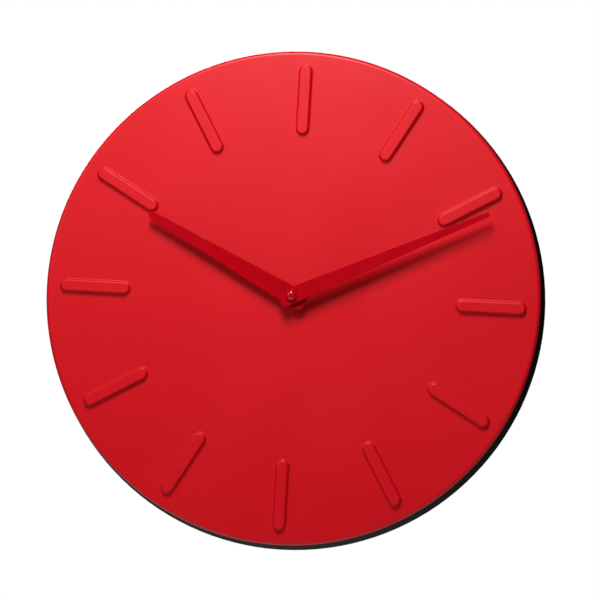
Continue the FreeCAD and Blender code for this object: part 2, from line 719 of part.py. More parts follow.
def build_hanger_plate():
    body = new_body("hanger_plate")
    half_width, half_height = S.hanger_width / 2, S.hanger_height / 2
    add_block(
        body,
        "plate",
        -half_width,
        half_width,
        HANGER_CENTRE - half_height,
        HANGER_CENTRE + half_height,
        HANGER_FRONT,
        HANGER_BACK,
    )
    round_edges(body, "plate_corners", S.plate_corner, runs_back)
    entry = S.hang_drop - S.keyhole_travel
    slot = facing_sketch(body, "keyhole_slot", HANGER_FRONT)
    draw_stadium(slot, entry, S.hang_drop, S.keyhole_slot / 2)
    pocket(body, slot, S.hanger_thickness)
    cut_disc(body, "keyhole_entry", S.keyhole_entry / 2, HANGER_FRONT, HANGER_BACK, 0, entry)
    for side, name in ((-1, "left"), (1, "right")):
        x = side * S.post_spacing / 2
        cut_disc(body, name + "_hole", S.screw_hole, HANGER_FRONT, HANGER_BACK, x, HANGER_CENTRE)


# ---------------------------------------------------------------- hands


def hand_blade(node, length, tail, width, tip, height, hole, angle, tail_round):
    """A flat hand with one straight taper from the tail to the tip."""
    body = new_body(node)
    turn_to(body, angle)
    sketch = facing_sketch(body, node + "_outline", -height - S.hand_thickness)
    half_tail = width / 2 + (width - tip) / 2 * tail / length
    draw_polygon(sketch, [(-half_tail, -tail), (half_tail, -tail), (tip / 2, length), (-tip / 2, length)])
    pad(body, sketch, S.hand_thickness)
    round_edges(body, node + "_tip", tip * 0.48, lambda edge: runs_back(edge) and edge.BoundBox.ZMin > 0)
    round_edges(body, node + "_tail", tail_round, lambda edge: runs_back(edge) and edge.BoundBox.ZMin < 0)
    front = -height - S.hand_thickness
    round_edges(body, node + "_edge", S.hand_edge_round, lambda edge: flat_at(edge, front))
    cut_disc(body, node + "_hole", hole + S.snug_gap, front, -height)


def build_hands():
    hand_blade(
        "hour_hand",
        S.hour_hand_length,
        S.hour_hand_tail,
        S.hour_hand_width,
        S.hour_hand_tip,
        S.hour_hand_height,
        S.hour_tube_radius + S.rivet_wall,
        S.hour_hand_angle,
        S.hour_tail_round,
    )
    hand_blade(
        "minute_hand",
        S.minute_hand_length,
        S.minute_hand_tail,
        S.minute_hand_width,
        S.minute_hand_tip,
        S.minute_hand_height,
        S.hand_seat_radius + S.rivet_wall,
        S.minute_hand_angle,
        S.minute_tail_round,
    )


def hand_collet(node, bore, height, drop, flange):
    """A brass ring: a flange behind the hand and a riveted neck through it."""
    body = new_body(node)
    neck_front = -height - S.hand_thickness - S.rivet_proud
    steps = [(neck_front, -height, bore + S.rivet_wall), (-height, -height + drop, flange)]
    revolve_steps(body, node + "_section", steps, bore=bore + S.snug_gap)


def build_collets():
    hand_collet(
        "hour_hand_collet",
        S.hour_tube_radius,
        S.hour_hand_height,
        S.hour_collet_length,
        S.hour_collet_radius,
    )
    hand_collet(
        "minute_hand_collet",
        S.hand_seat_radius,
        S.minute_hand_height,
        S.minute_collet_length,
        S.minute_collet_radius,
    )


def build_hand_cap():
    body = new_body("hand_cap")
    back = -S.minute_hand_height - S.hand_thickness - S.rivet_proud
    add_disc(body, "cap_blank", S.cap_radius, back - S.cap_height, back)
    front = back - S.cap_height
    round_edges(body, "cap_dome", S.cap_radius * 0.8, lambda edge: flat_at(edge, front))
    cut_disc(body, "cap_bore", S.hand_seat_radius + S.snug_gap, back - S.cap_bore_depth, back)


# ---------------------------------------------------------------- motion work


def build_hour_wheel():
    body = new_body("hour_wheel")
    module = minute_pinion_module()
    start, end = inside(S.hour_layer), inside(S.hour_layer + S.motion_face)
    tube_front = -S.hour_hand_height - S.hand_thickness - 0.4
    floor = inside(S.case_wall + 0.1)
    steps = [
        (tube_front, floor, S.hour_tube_radius),
        (floor, start, S.hour_tube_radius + 1.0),
        (start, end, root_radius(module, S.hour_teeth)),
        (end, end + 0.2, S.hour_tube_radius + 1.0),
    ]
    bore = S.minute_shaft_radius + S.running_gap
    revolve_steps(body, "hour_wheel_section", steps, bore=bore)
    towards = opposite_gap(S.minute_angle, S.hour_teeth)
    teeth_round(body, "hour_wheel_teeth", module, S.hour_teeth, start, S.motion_face, towards)
    lighten(body, "hour_wheel_window", 4.9, 1.0, start, end, 6)


def lighten(body, name, circle, radius, start, end, count):
    """Round windows in a wheel's web."""
    window = cut_disc(body, name, radius, start, end, circle, 0)
    repeat_round(body, name + "s", [window], count)


def build_centre_shaft():
    body = new_body("centre_shaft")
    shoulder = -S.minute_hand_height + 1.6
    pinion_front, pinion_back = inside(S.minute_layer - 0.1), inside(S.minute_layer + 1.3)
    seat_front = -S.minute_hand_height - S.hand_thickness - 2.0
    wheel_seat = inside(S.centre_layer + S.wheel_face + 0.8)
    pivot = inside(S.bridge_layer - S.end_float)
    steps = [
        (seat_front, shoulder, S.hand_seat_radius),
        (shoulder, pinion_front, S.minute_shaft_radius),
        (pinion_front, pinion_back, root_radius(S.hands_module, S.cannon_teeth)),
        (pinion_back, wheel_seat, SHAFT_NECK),
        (wheel_seat, pivot, 0.9),
        (pivot, pivot + S.pivot_length, S.pivot_radius),
    ]
    revolve_steps(body, "centre_shaft_section", steps)
    face = pinion_back - pinion_front
    teeth_round(
        body, "cannon_teeth_form", S.hands_module, S.cannon_teeth, pinion_front, face, S.minute_angle
    )


def build_clutch_spring():
    """A dished washer that presses the centre wheel against the cannon pinion."""
    body = new_body("clutch_spring")
    bore = SHAFT_NECK + S.snug_gap
    back = inside(S.centre_layer + S.wheel_face + 0.75)
    profile = [(bore, back - 0.15), (2.5, back - 0.4), (2.5, back - 0.25), (bore, back)]
    revolve(body, "clutch_section", profile)


def wheel_on_arbor(node, arbor, module, teeth, layer, pinion, front, towards):
    """A wheel with its pinion in front of it on one arbor, with a pivot at each end.

    pinion is (module, teeth, layer of the wheel it drives, tooth angle)."""
    body = new_body(node, *arbor)
    pinion_module, pinion_teeth, pinion_layer, pinion_angle = pinion
    pinion_front = inside(pinion_layer - 0.2)
    pinion_back = pinion_front + S.pinion_face
    wheel_front, wheel_back = inside(layer), inside(layer + S.wheel_face)
    pivot = inside(S.bridge_layer - S.end_float)
    steps = [
        (inside(front) - S.pivot_length, inside(front + S.end_float), S.pivot_radius),
        (inside(front + S.end_float), pinion_front, S.arbor_radius),
        (pinion_front, pinion_back, root_radius(pinion_module, pinion_teeth)),
        (pinion_back, wheel_front, S.arbor_radius),
        (wheel_front, wheel_back, root_radius(module, teeth)),
        (wheel_back, pivot, S.arbor_radius),
        (pivot, pivot + S.pivot_length, S.pivot_radius),
    ]
    revolve_steps(body, node + "_section", steps)
    teeth_round(body, node + "_teeth", module, teeth, wheel_front, S.wheel_face, towards)
    teeth_round(
        body, node + "_pinion", pinion_module, pinion_teeth, pinion_front, S.pinion_face, pinion_angle
    )
    return body


def boss_heights():
    """How far each front bearing boss stands from the movement's front."""
    return {
        "third": S.centre_layer - 0.7,
        "seconds": S.third_layer - 0.6,
        "intermediate": S.seconds_layer - 0.6,
        "rotor": S.stator_layer - 1.0,
        "setting": S.minute_layer - 0.5,
    }


def build_drive_train():
    heights = boss_heights()
    wheel_on_arbor(
        "third_wheel",
        THIRD,
        S.train_module,
        S.third_teeth,
        S.third_layer,
        (S.centre_module, S.pinion_teeth, S.centre_layer, S.third_angle + 180),
        heights["third"],
        opposite_gap(S.seconds_angle, S.third_teeth),
    )
    wheel_on_arbor(
        "seconds_wheel",
        SECONDS,
        S.train_module,
        S.seconds_teeth,
        S.seconds_layer,
        (S.train_module, S.pinion_teeth, S.third_layer, S.seconds_angle + 180),
        heights["seconds"],
        opposite_gap(S.intermediate_angle, S.seconds_teeth),
    )
    wheel_on_arbor(
        "intermediate_wheel",
        INTERMEDIATE,
        S.train_module,
        S.intermediate_teeth,
        S.intermediate_layer,
        (S.train_module, S.pinion_teeth, S.seconds_layer, S.intermediate_angle + 180),
        heights["intermediate"],
        opposite_gap(S.rotor_angle, S.intermediate_teeth),
    )


def build_centre_wheel():
    body = new_body("centre_wheel")
    start, end = inside(S.centre_layer), inside(S.centre_layer + S.wheel_face)
    steps = [
        (start - 0.3, start, SHAFT_NECK + 1.0),
        (start, end, root_radius(S.centre_module, S.centre_teeth)),
        (end, end + 0.2, SHAFT_NECK + 0.9),
    ]
    revolve_steps(body, "centre_wheel_section", steps, bore=SHAFT_NECK + S.running_gap)
    towards = opposite_gap(S.third_angle, S.centre_teeth)
    teeth_round(
        body, "centre_teeth_form", S.centre_module, S.centre_teeth, start, S.wheel_face, towards
    )
    lighten(body, "centre_window", 5.2, 1.4, start, end, 5)


def build_rotor():
    body = new_body("rotor_pinion", *ROTOR)
    magnet_front = inside(S.stator_layer - 0.6)
    magnet_back = magnet_front + S.magnet_length
    pinion_front = inside(S.intermediate_layer - 0.2)
    pinion_back = pinion_front + S.pinion_face
    boss = inside(boss_heights()["rotor"])
    pivot = inside(S.bridge_layer - S.end_float)
    steps = [
        (boss - S.pivot_length, boss + S.end_float, S.pivot_radius),
        (boss + S.end_float, magnet_back, 0.8),
        (magnet_back, pinion_front, 1.2),
        (pinion_front, pinion_back, root_radius(S.train_module, S.rotor_teeth)),
        (pinion_back, pivot, 0.6),
        (pivot, pivot + S.pivot_length, S.pivot_radius),
    ]
    revolve_steps(body, "rotor_section", steps)
    teeth_round(
        body,
        "rotor_teeth_form",
        S.train_module,
        S.rotor_teeth,
        pinion_front,
        S.pinion_face,
        S.rotor_angle + 180,
    )
    magnet = new_body("rotor_magnet", *ROTOR)
    bore = 0.8 + S.snug_gap
    revolve_steps(magnet, "magnet_section", [(magnet_front, magnet_back, S.magnet_radius)], bore=bore)


def build_minute_wheel():
    body = new_body("minute_wheel", *MINUTE)
    module = minute_pinion_module()
    floor = inside(S.case_wall)
    pinion_front, pinion_back = inside(S.hour_layer - 0.2), inside(S.hour_layer + 1.2)
    wheel_front, wheel_back = inside(S.minute_layer), inside(S.minute_layer + S.motion_face)
    pivot = inside(S.bridge_layer - S.end_float)
    steps = [
        (floor - S.pivot_length, floor + S.end_float, S.pivot_radius),
        (floor + S.end_float, pinion_front, 0.9),
        (pinion_front, pinion_back, root_radius(module, S.minute_pinion_teeth)),
        (pinion_back, wheel_front, 1.2),
        (wheel_front, wheel_back, root_radius(S.hands_module, S.minute_teeth)),
        (wheel_back, wheel_back + 0.4, 1.2),
        (wheel_back + 0.4, pivot, 0.5),
        (pivot, pivot + S.pivot_length, S.pivot_radius),
    ]
    revolve_steps(body, "minute_wheel_section", steps)
    towards = opposite_gap(S.minute_angle, S.minute_teeth)
    teeth_round(
        body, "minute_wheel_teeth", S.hands_module, S.minute_teeth, wheel_front, S.motion_face, towards
    )
    teeth_round(
        body,
        "minute_wheel_pinion",
        module,
        S.minute_pinion_teeth,
        pinion_front,
        pinion_back - pinion_front,
        S.minute_angle - 180,
    )
    lighten(body, "minute_window", 3.9, 1.2, wheel_front, wheel_back, 5)


def build_setting_stem():
    body = new_body("setting_stem", *SETTING)
    boss = inside(boss_heights()["setting"])
    pinion_front, pinion_back = inside(S.minute_layer - 0.2), inside(S.minute_layer + 1.2)
    cover_back = inside(S.case_tray_depth + S.case_cover)
    steps = [
        (boss - 1.3, boss + S.end_float, 0.8),
        (boss + S.end_float, pinion_front, 1.5),
        (pinion_front, pinion_back, root_radius(S.hands_module, S.setting_teeth)),
        (pinion_back, cover_back + 3.2, S.stem_radius),
    ]
    revolve_steps(body, "setting_section", steps)
    face = pinion_back - pinion_front
    towards = S.setting_angle - 180
    teeth_round(body, "setting_teeth_form", S.hands_module, S.setting_teeth, pinion_front, face, towards)


def build_setting_knob():
    body = new_body("setting_knob", *SETTING)
    front = inside(S.case_tray_depth + S.case_cover + S.knob_gap)
    back = front + S.knob_height
    add_disc(body, "knob_blank", S.knob_radius, front, back)
    round_edges(body, "knob_edge", S.knob_edge, lambda edge: flat_at(edge, back))
    cut_disc(body, "knob_bore", S.stem_radius + S.snug_gap, front, front + S.knob_bore_depth)
    groove = cut_disc(
        body, "knob_groove", S.groove_radius, front, back, S.knob_radius + S.groove_out, 0
    )
    repeat_round(body, "knob_grooves", [groove], S.groove_count)
    cut_disc(body, "knob_dish", S.knob_radius - S.knob_rim, back - S.dish_depth, back)


# ---------------------------------------------------------------- movement case


def build_front_case():
    body = new_body("movement_front_case")
    front, back, floor = inside(0), inside(S.case_tray_depth), inside(S.case_wall)
    add_block(body, "tray", -CASE_SIDE, CASE_SIDE, -CASE_BOTTOM, S.case_top, front, back)
    round_edges(body, "tray_corners", S.case_corner, runs_back)
    cut_block(body, "gear_room", -ROOM_SIDE, ROOM_SIDE, -S.room_bottom, ROOM_TOP, floor, back)
    cut_block(body, "battery_bay", -ROOM_SIDE, ROOM_SIDE, -BAY_BOTTOM, -S.bay_top, floor, back)
    add_disc(body, "spout", SPOUT_RADIUS, -S.spout_proud, front + 0.5)
    cut_disc(body, "spout_bore", S.hour_tube_radius + S.running_gap, -S.spout_proud, floor)

    # Arbor and radius of each front bearing boss; the crowded ones are slimmer.
    heights = boss_heights()
    places = {
        "third": (THIRD, 0.95),
        "seconds": (SECONDS, 1.2),
        "intermediate": (INTERMEDIATE, 0.85),
        "rotor": (ROTOR, 1.2),
        "setting": (SETTING, 1.7),
    }
    for name, (arbor, radius) in places.items():
        top = inside(heights[name])
        hole = 0.8 + S.running_gap if name == "setting" else PIVOT_HOLE
        add_disc(body, name + "_boss", radius, floor - S.join, top, *arbor)
        cut_disc(body, name + "_pivot_hole", hole, top - 1.5, top, *arbor)
    cut_disc(body, "minute_pivot_hole", PIVOT_HOLE, floor - 1.2, floor, *MINUTE)

    bridge = inside(S.bridge_layer)
    for number, (x, z) in enumerate(BRIDGE_PILLARS, start=1):
        add_disc(body, "pillar_%d" % number, S.pillar_radius, floor - S.join, bridge, x, z)
        add_disc(body, "pillar_pin_%d" % number, S.pillar_pin, bridge - S.join, bridge + S.bridge_thickness, x, z)
    for number, (x, z) in enumerate(BOARD_POSTS, start=1):
        add_disc(body, "board_post_%d" % number, S.pillar_radius, floor - S.join, inside(S.board_layer), x, z)

    lug_front, lug_back = inside(S.lug_depth), inside(S.lug_depth + S.lug_thickness)
    half_lug = S.lug_height / 2
    for side, name in ((-1, "left"), (1, "right")):
        near, far = side * (CASE_SIDE - 0.5), side * (CASE_SIDE + S.lug_reach)
        left, right = (far, near) if side < 0 else (near, far)
        add_block(body, name + "_lug", left, right, -half_lug, half_lug, lug_front, lug_back)
        cut_disc(body, name + "_lug_hole", S.screw_hole, lug_front, lug_back, side * LUG_SCREW_X, 0)
        inner, outer = side * (ROOM_SIDE - S.contact_sheet - 0.1), side * ROOM_SIDE
        left, right = (outer, inner) if side < 0 else (inner, outer)
        slot_front = inside(8.0)
        cut_block(body, name + "_slot", left, right, -S.bay_top, -S.room_bottom, slot_front, back)


def build_rear_case():
    body = new_body("movement_rear_case")
    front, back = inside(S.case_tray_depth), inside(S.case_tray_depth + S.case_cover)
    add_block(body, "cover", -CASE_SIDE, CASE_SIDE, -CASE_BOTTOM, S.case_top, front, back)
    round_edges(body, "cover_corners", S.case_corner, runs_back)
    window = ROOM_SIDE - 1.0
    high, low = -S.bay_top - 0.3, 0.2 - BAY_BOTTOM
    cut_block(body, "battery_window", -window, window, low, high, front, back)
    cut_disc(body, "stem_hole", S.stem_radius + S.running_gap, front, back, *SETTING)
    for side, name in ((-1, "left"), (1, "right")):
        middle = side * 15.0
        top = ROOM_TOP - 0.1
        add_block(body, name + "_tab", middle - 4, middle + 4, top - 0.8, top, front - 1.0, front + 0.5)


def build_train_bridge():
    body = new_body("train_bridge")
    front, back = inside(S.bridge_layer), inside(S.bridge_layer + S.bridge_thickness)
    outline = [
        (-16, 15.6),
        (4.6, 19.2),
        (8.5, 14),
        (8.5, 7.5),
        (3, -1.5),
        (5.2, -11),
        (5, -15),
        (1, -15),
        (-10.5, -8),
        (-16, 3),
    ]
    sketch = facing_sketch(body, "bridge_outline", front)
    draw_polygon(sketch, outline)
    pad(body, sketch, S.bridge_thickness)
    round_edges(body, "bridge_corners", 1.2, runs_back)
    arbors = {
        "centre": CENTRE,
        "third": THIRD,
        "seconds": SECONDS,
        "intermediate": INTERMEDIATE,
        "rotor": ROTOR,
        "minute": MINUTE,
    }
    for name, arbor in arbors.items():
        cut_disc(body, name + "_bearing", PIVOT_HOLE, front, back, *arbor)
    for number, (x, z) in enumerate(BRIDGE_PILLARS, start=1):
        cut_disc(body, "pin_hole_%d" % number, S.pillar_pin + S.snug_gap, front, back, x, z)


# ---------------------------------------------------------------- electric parts


def build_stator():
    body = new_body("stator")
    front, back = inside(S.stator_layer), inside(S.stator_layer + S.stator_thickness)
    add_disc(body, "stator_ring", S.magnet_radius + 1.4, front, back, *ROTOR)
    core_left, core_right = COIL_X - 1.5, COIL_X + 1.5
    yoke = facing_sketch(body, "stator_upper_limb", front)
    upper = [(ROTOR[0], 12.3), (core_right, 12.3), (core_right, CORE_HIGH), (core_left, CORE_HIGH)]
    draw_polygon(yoke, upper + [(core_left, 14.8), (ROTOR[0], 14.8)])
    pad(body, yoke, S.stator_thickness)
    lower_limb = facing_sketch(body, "stator_lower_limb", front)
    low, elbow = CORE_LOW, COIL_LOW - 0.2
    lower = [(6.0, low), (core_right, low), (core_right, elbow), (9.0, elbow), (9.0, 8.5), (6.0, 8.5)]
    draw_polygon(lower_limb, lower)
    pad(body, lower_limb, S.stator_thickness)
    cut_disc(body, "rotor_hole", S.magnet_radius + 0.4, front, back, *ROTOR)


def block_part(name, x, y, z, length, width, height):
    """A box with its low corner at (x, depth y, z), bound to its sizes."""
    box = doc.addObject("Part::Box", name)
    for prop, size in (("Length", length), ("Width", width), ("Height", height)):
        bind(box, prop, size)
    bind(box, "Placement.Base.x", x)
    bind(box, "Placement.Base.y", y)
    bind(box, "Placement.Base.z", z)
    return box


def rod_part(name, x, y, z, radius, length, along):
    """A cylinder that starts at (x, depth y, z) and runs along X or Z."""
    rod = doc.addObject("Part::Cylinder", name)
    bind(rod, "Radius", radius)
    bind(rod, "Height", length)
    if along == "X":
        rod.Placement.Rotation = Rotation(Vector(0, 1, 0), 90)
    bind(rod, "Placement.Base.x", x)
    bind(rod, "Placement.Base.y", y)
    bind(rod, "Placement.Base.z", z)
    return rod


def joined(node, pieces):
    whole = doc.addObject("Part::MultiFuse", node)
    whole.Shapes = pieces
    return named(whole, node)


def cut_from(node, base, tool):
    whole = doc.addObject("Part::Cut", node)
    whole.Base, whole.Tool = base, tool
    return named(whole, node)


def named(item, node, x=0.0, depth=0.0, z=0.0):
    """Labels a finished piece and brings it to the clock, at an offset from the hand axis."""
    item.Label = node
    place(item, x, z)
    bind(item, "Placement.Base.y", depth - S.clock_depth)
    doc.recompute()
    return item


def build_coil():
    """The bobbin's square tube slides on the core, and the wire is wound on the bobbin."""
    axis = inside(S.stator_layer + S.stator_thickness * 1.5)
    core_front = axis - S.stator_thickness / 2
    core = block_part("coil_core", 0, 0, 0, 3.0, S.stator_thickness, CORE_HIGH - CORE_LOW)
    named(core, "coil_core", COIL_X - 1.5, core_front, CORE_LOW)
    length = COIL_HIGH - COIL_LOW
    tube = block_part("bobbin_tube", COIL_X - 2.1, axis - 1.1, COIL_LOW, 4.2, 2.2, length)
    low = block_part("bobbin_low_flange", COIL_X - 3.8, axis - 3.8, COIL_LOW, 7.6, 7.6, 0.8)
    high = block_part("bobbin_high_flange", COIL_X - 3.8, axis - 3.8, COIL_HIGH - 0.8, 7.6, 7.6, 0.8)
    solid = doc.addObject("Part::MultiFuse", "bobbin_solid")
    solid.Shapes = [tube, low, high]
    hole = block_part("bobbin_hole", COIL_X - 1.52, axis - 0.52, COIL_LOW - 1, 3.04, 1.04, length + 2)
    cut_from("coil_bobbin", solid, hole)
    wire = rod_part("coil_wire", COIL_X, axis, COIL_LOW + 0.8, 3.4, length - 1.6, "Z")
    former = block_part("coil_former", COIL_X - 2.1, axis - 1.1, COIL_LOW, 4.2, 2.2, length)
    cut_from("coil_winding", wire, former)


def build_board():
    body = new_body("circuit_board")
    right = ROOM_SIDE - S.contact_sheet
    low = 0.5 - S.room_bottom
    start, end = inside(S.board_layer), inside(S.board_layer + S.board_thickness)
    add_block(body, "board", BOARD_LEFT, right, low, BOARD_TOP, start, end)
    chip = new_body("chip_cover")
    cover_back = end + 1.2
    add_disc(chip, "chip_blank", 3.0, end, cover_back, 20.0, -11.0)
    round_edges(chip, "chip_round", 0.9, lambda edge: flat_at(edge, cover_back))
    can_radius = 1.0
    can = rod_part("quartz_crystal", 0, 0, 0, can_radius, 6.5, "X")
    named(can, "quartz_crystal", 9.5, end + can_radius, -13.5)


def build_battery():
    """The cell lies across the bay with its nub on the positive contact."""
    depth = inside(BATTERY_DEPTH)
    nub_end = ROOM_SIDE - S.contact_sheet
    start = nub_end - S.battery_nub - S.battery_length
    can_radius = S.battery_radius - S.sleeve_wall
    low = -BATTERY_DROP
    can = rod_part("battery_body", start, depth, low, can_radius, S.battery_length, "X")
    nub_start = start + S.battery_length - 1
    nub = rod_part("battery_nub_end", nub_start, depth, low, 2.7, S.battery_nub + 1, "X")
    joined("battery_can", [can, nub])
    inset = 0.8
    sleeve_length = S.battery_length - 2 * inset
    outside = rod_part("sleeve_outside", start + inset, depth, low, S.battery_radius, sleeve_length, "X")
    hollow = rod_part("sleeve_inside", start, depth, low, can_radius, S.battery_length, "X")
    cut_from("battery_sleeve", outside, hollow)


def build_contacts():
    sheet_side = ROOM_SIDE - S.contact_sheet
    front, back = inside(4.0), inside(13.0)
    tab_front, tab_back = inside(S.board_layer - 0.5), inside(S.board_layer + 1.5)
    low, high = -BATTERY_DROP - 5, -BATTERY_DROP + 5
    positive = new_body("positive_contact")
    add_block(positive, "positive_plate", sheet_side, ROOM_SIDE, low, high, front, back)
    add_block(positive, "positive_tab", sheet_side, ROOM_SIDE, high - 1, -11.0, tab_front, tab_back)
    negative = new_body("negative_contact")
    add_block(negative, "negative_plate", -ROOM_SIDE, -sheet_side, low, high, front, back)
    strip_low = 0.1 - S.room_bottom
    strip_high = strip_low + S.contact_sheet
    tab_low = high - 1
    add_block(negative, "negative_tab", -ROOM_SIDE, -sheet_side, tab_low, strip_high, tab_front, tab_back)
    add_block(negative, "negative_strip", -ROOM_SIDE, 10.0, strip_low, strip_high, tab_front, tab_back)
    cell_end = sheet_side - S.battery_nub - S.battery_length
    spring = facing_sketch(negative, "negative_spring", inside(6.5))
    middle = -BATTERY_DROP
    hollow_end = cell_end - S.contact_sheet
    arch = [(-sheet_side, -4), (cell_end, -1.2), (cell_end, 1.2), (-sheet_side, 4)]
    hollow = [(-sheet_side, 3.3), (hollow_end, 0.9), (hollow_end, -0.9), (-sheet_side, -3.3)]
    draw_polygon(spring, [(x, middle + z) for x, z in arch + hollow])
    pad(negative, spring, 4.5)


# ---------------------------------------------------------------- build, check and write

NODES = [
    "dial",
    "case_body",
    "dial_screws",
    "hanger_plate",
    "hanger_screws",
    "wall_pads",
    "hour_hand",
    "hour_hand_collet",
    "minute_hand",
    "minute_hand_collet",
    "hand_cap",
    "hour_wheel",
    "centre_shaft",
    "clutch_spring",
    "minute_wheel",
    "setting_stem",
    "setting_knob",
    "centre_wheel",
    "third_wheel",
    "seconds_wheel",
    "intermediate_wheel",
    "rotor_pinion",
    "rotor_magnet",
    "movement_front_case",
    "movement_rear_case",
    "movement_screws",
    "train_bridge",
    "stator",
    "coil_core",
    "coil_bobbin",
    "coil_winding",
    "circuit_board",
    "chip_cover",
    "quartz_crystal",
    "battery_can",
    "battery_sleeve",
    "positive_contact",
    "negative_contact",
]


def build_all():
    build_dial()
    build_case_body()
    build_dial_screws()
    build_hanger_plate()
    build_hanger_screws()
    build_wall_pads()
    build_hands()
    build_collets()
    build_hand_cap()
    build_hour_wheel()
    build_centre_shaft()
    build_clutch_spring()
    build_minute_wheel()
    build_setting_stem()
    build_setting_knob()
    build_centre_wheel()
    build_drive_train()
    build_rotor()
    build_front_case()
    build_rear_case()
    build_movement_screws()
    build_train_bridge()
    build_stator()
    build_coil()
    build_board()
    build_battery()
    build_contacts()
    doc.recompute()


def check_document():
    for item in doc.Objects:
        if "Invalid" in item.State or "Error" in item.State:
            raise RuntimeError("%s did not build: %s" % (item.Label, item.State))


def write_parts():
    for node in NODES:
        shape = doc.getObjectsByLabel(node)[0].Shape
        if shape.isNull() or not shape.isValid() or not shape.Solids:
            raise RuntimeError("%s has no valid shape" % node)
        shape.exportStep("parts/%s.step" % node)
        print(node, len(shape.Solids), round(shape.Volume, 2))


build_all()
check_document()
write_parts()
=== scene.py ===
"""Wall clock: a red face with raised hour bars, red hands, a black body and a quartz movement."""

import json
import math

import bmesh
import bpy
from mathutils import Matrix, Vector


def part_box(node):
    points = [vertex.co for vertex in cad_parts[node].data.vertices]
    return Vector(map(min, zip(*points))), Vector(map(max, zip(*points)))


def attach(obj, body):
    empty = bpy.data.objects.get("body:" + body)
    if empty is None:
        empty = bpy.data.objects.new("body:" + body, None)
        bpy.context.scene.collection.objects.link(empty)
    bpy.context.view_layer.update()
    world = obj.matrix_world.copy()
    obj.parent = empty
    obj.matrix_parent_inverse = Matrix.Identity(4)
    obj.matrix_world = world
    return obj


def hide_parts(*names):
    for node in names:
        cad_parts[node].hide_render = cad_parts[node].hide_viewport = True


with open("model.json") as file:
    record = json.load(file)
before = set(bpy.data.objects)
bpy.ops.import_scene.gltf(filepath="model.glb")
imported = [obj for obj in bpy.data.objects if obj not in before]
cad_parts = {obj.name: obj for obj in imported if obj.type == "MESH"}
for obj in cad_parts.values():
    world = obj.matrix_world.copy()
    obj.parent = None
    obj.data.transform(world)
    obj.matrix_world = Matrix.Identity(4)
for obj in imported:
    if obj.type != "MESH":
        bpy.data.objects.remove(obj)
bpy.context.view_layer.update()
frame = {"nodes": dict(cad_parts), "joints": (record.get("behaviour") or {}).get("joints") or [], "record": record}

MM = 0.001
ARC_STEPS = 10


# ---------------------------------------------------------------- where things are


def joint_axis(name):
    """The point on a joint's axis, in metres."""
    joint = next(joint for joint in frame["joints"] if joint["name"] == name)
    return Vector(joint["pos_m"])


HAND_AXIS = joint_axis("minute_hand_turn")
FACE_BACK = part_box("case_body")[0][1]
BAR_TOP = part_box("dial")[0][1]
BAR_HEIGHT = 3.0 * MM
FACE_FRONT = BAR_TOP + BAR_HEIGHT
FACE_RADIUS = (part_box("dial")[1][0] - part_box("dial")[0][0]) / 2


# ---------------------------------------------------------------- shader groups


def shader_group(name, inputs, outputs):
    """A node group with named sockets. Returns its tree, its input node and its output node."""
    tree = bpy.data.node_groups.new(name, "ShaderNodeTree")
    for label, value in inputs:
        socket = tree.interface.new_socket(name=label, in_out="INPUT", socket_type="NodeSocketFloat")
        socket.default_value = value
    for label in outputs:
        tree.interface.new_socket(name=label, in_out="OUTPUT", socket_type="NodeSocketFloat")
    return tree, tree.nodes.new("NodeGroupInput"), tree.nodes.new("NodeGroupOutput")


def object_coordinates(tree):
    return tree.nodes.new("ShaderNodeTexCoord").outputs["Object"]


def set_input(tree, socket, value):
    """Links a socket to another one, or sets it to a constant."""
    if isinstance(value, bpy.types.NodeSocket):
        tree.links.new(value, socket)
    else:
        socket.default_value = value


def math_node(tree, operation, first, second=0.0):
    node = tree.nodes.new("ShaderNodeMath")
    node.operation = operation
    set_input(tree, node.inputs[0], first)
    set_input(tree, node.inputs[1], second)
    return node.outputs[0]


def noise_node(tree, vector, scale, detail=3.0, roughness=0.5, distortion=0.0):
    node = tree.nodes.new("ShaderNodeTexNoise")
    tree.links.new(vector, node.inputs["Vector"])
    set_input(tree, node.inputs["Scale"], scale)
    node.inputs["Detail"].default_value = detail
    node.inputs["Roughness"].default_value = roughness
    node.inputs["Distortion"].default_value = distortion
    return node.outputs["Fac"]


def stretched(tree, vector, scale, turn=(0.0, 0.0, 0.0)):
    node = tree.nodes.new("ShaderNodeMapping")
    tree.links.new(vector, node.inputs["Vector"])
    node.inputs["Scale"].default_value = scale
    node.inputs["Rotation"].default_value = turn
    return node.outputs["Vector"]


def remap(tree, value, low, high, to_low=0.0, to_high=1.0):
    node = tree.nodes.new("ShaderNodeMapRange")
    tree.links.new(value, node.inputs["Value"])
    for label, number in (("From Min", low), ("From Max", high), ("To Min", to_low), ("To Max", to_high)):
        set_input(tree, node.inputs[label], number)
    return node.outputs["Result"]


def mix_colours(tree, factor, first, second):
    node = tree.nodes.new("ShaderNodeMix")
    node.data_type = "RGBA"
    set_input(tree, node.inputs["Factor"], factor)
    set_input(tree, node.inputs["A"], first)
    set_input(tree, node.inputs["B"], second)
    return node.outputs["Result"]


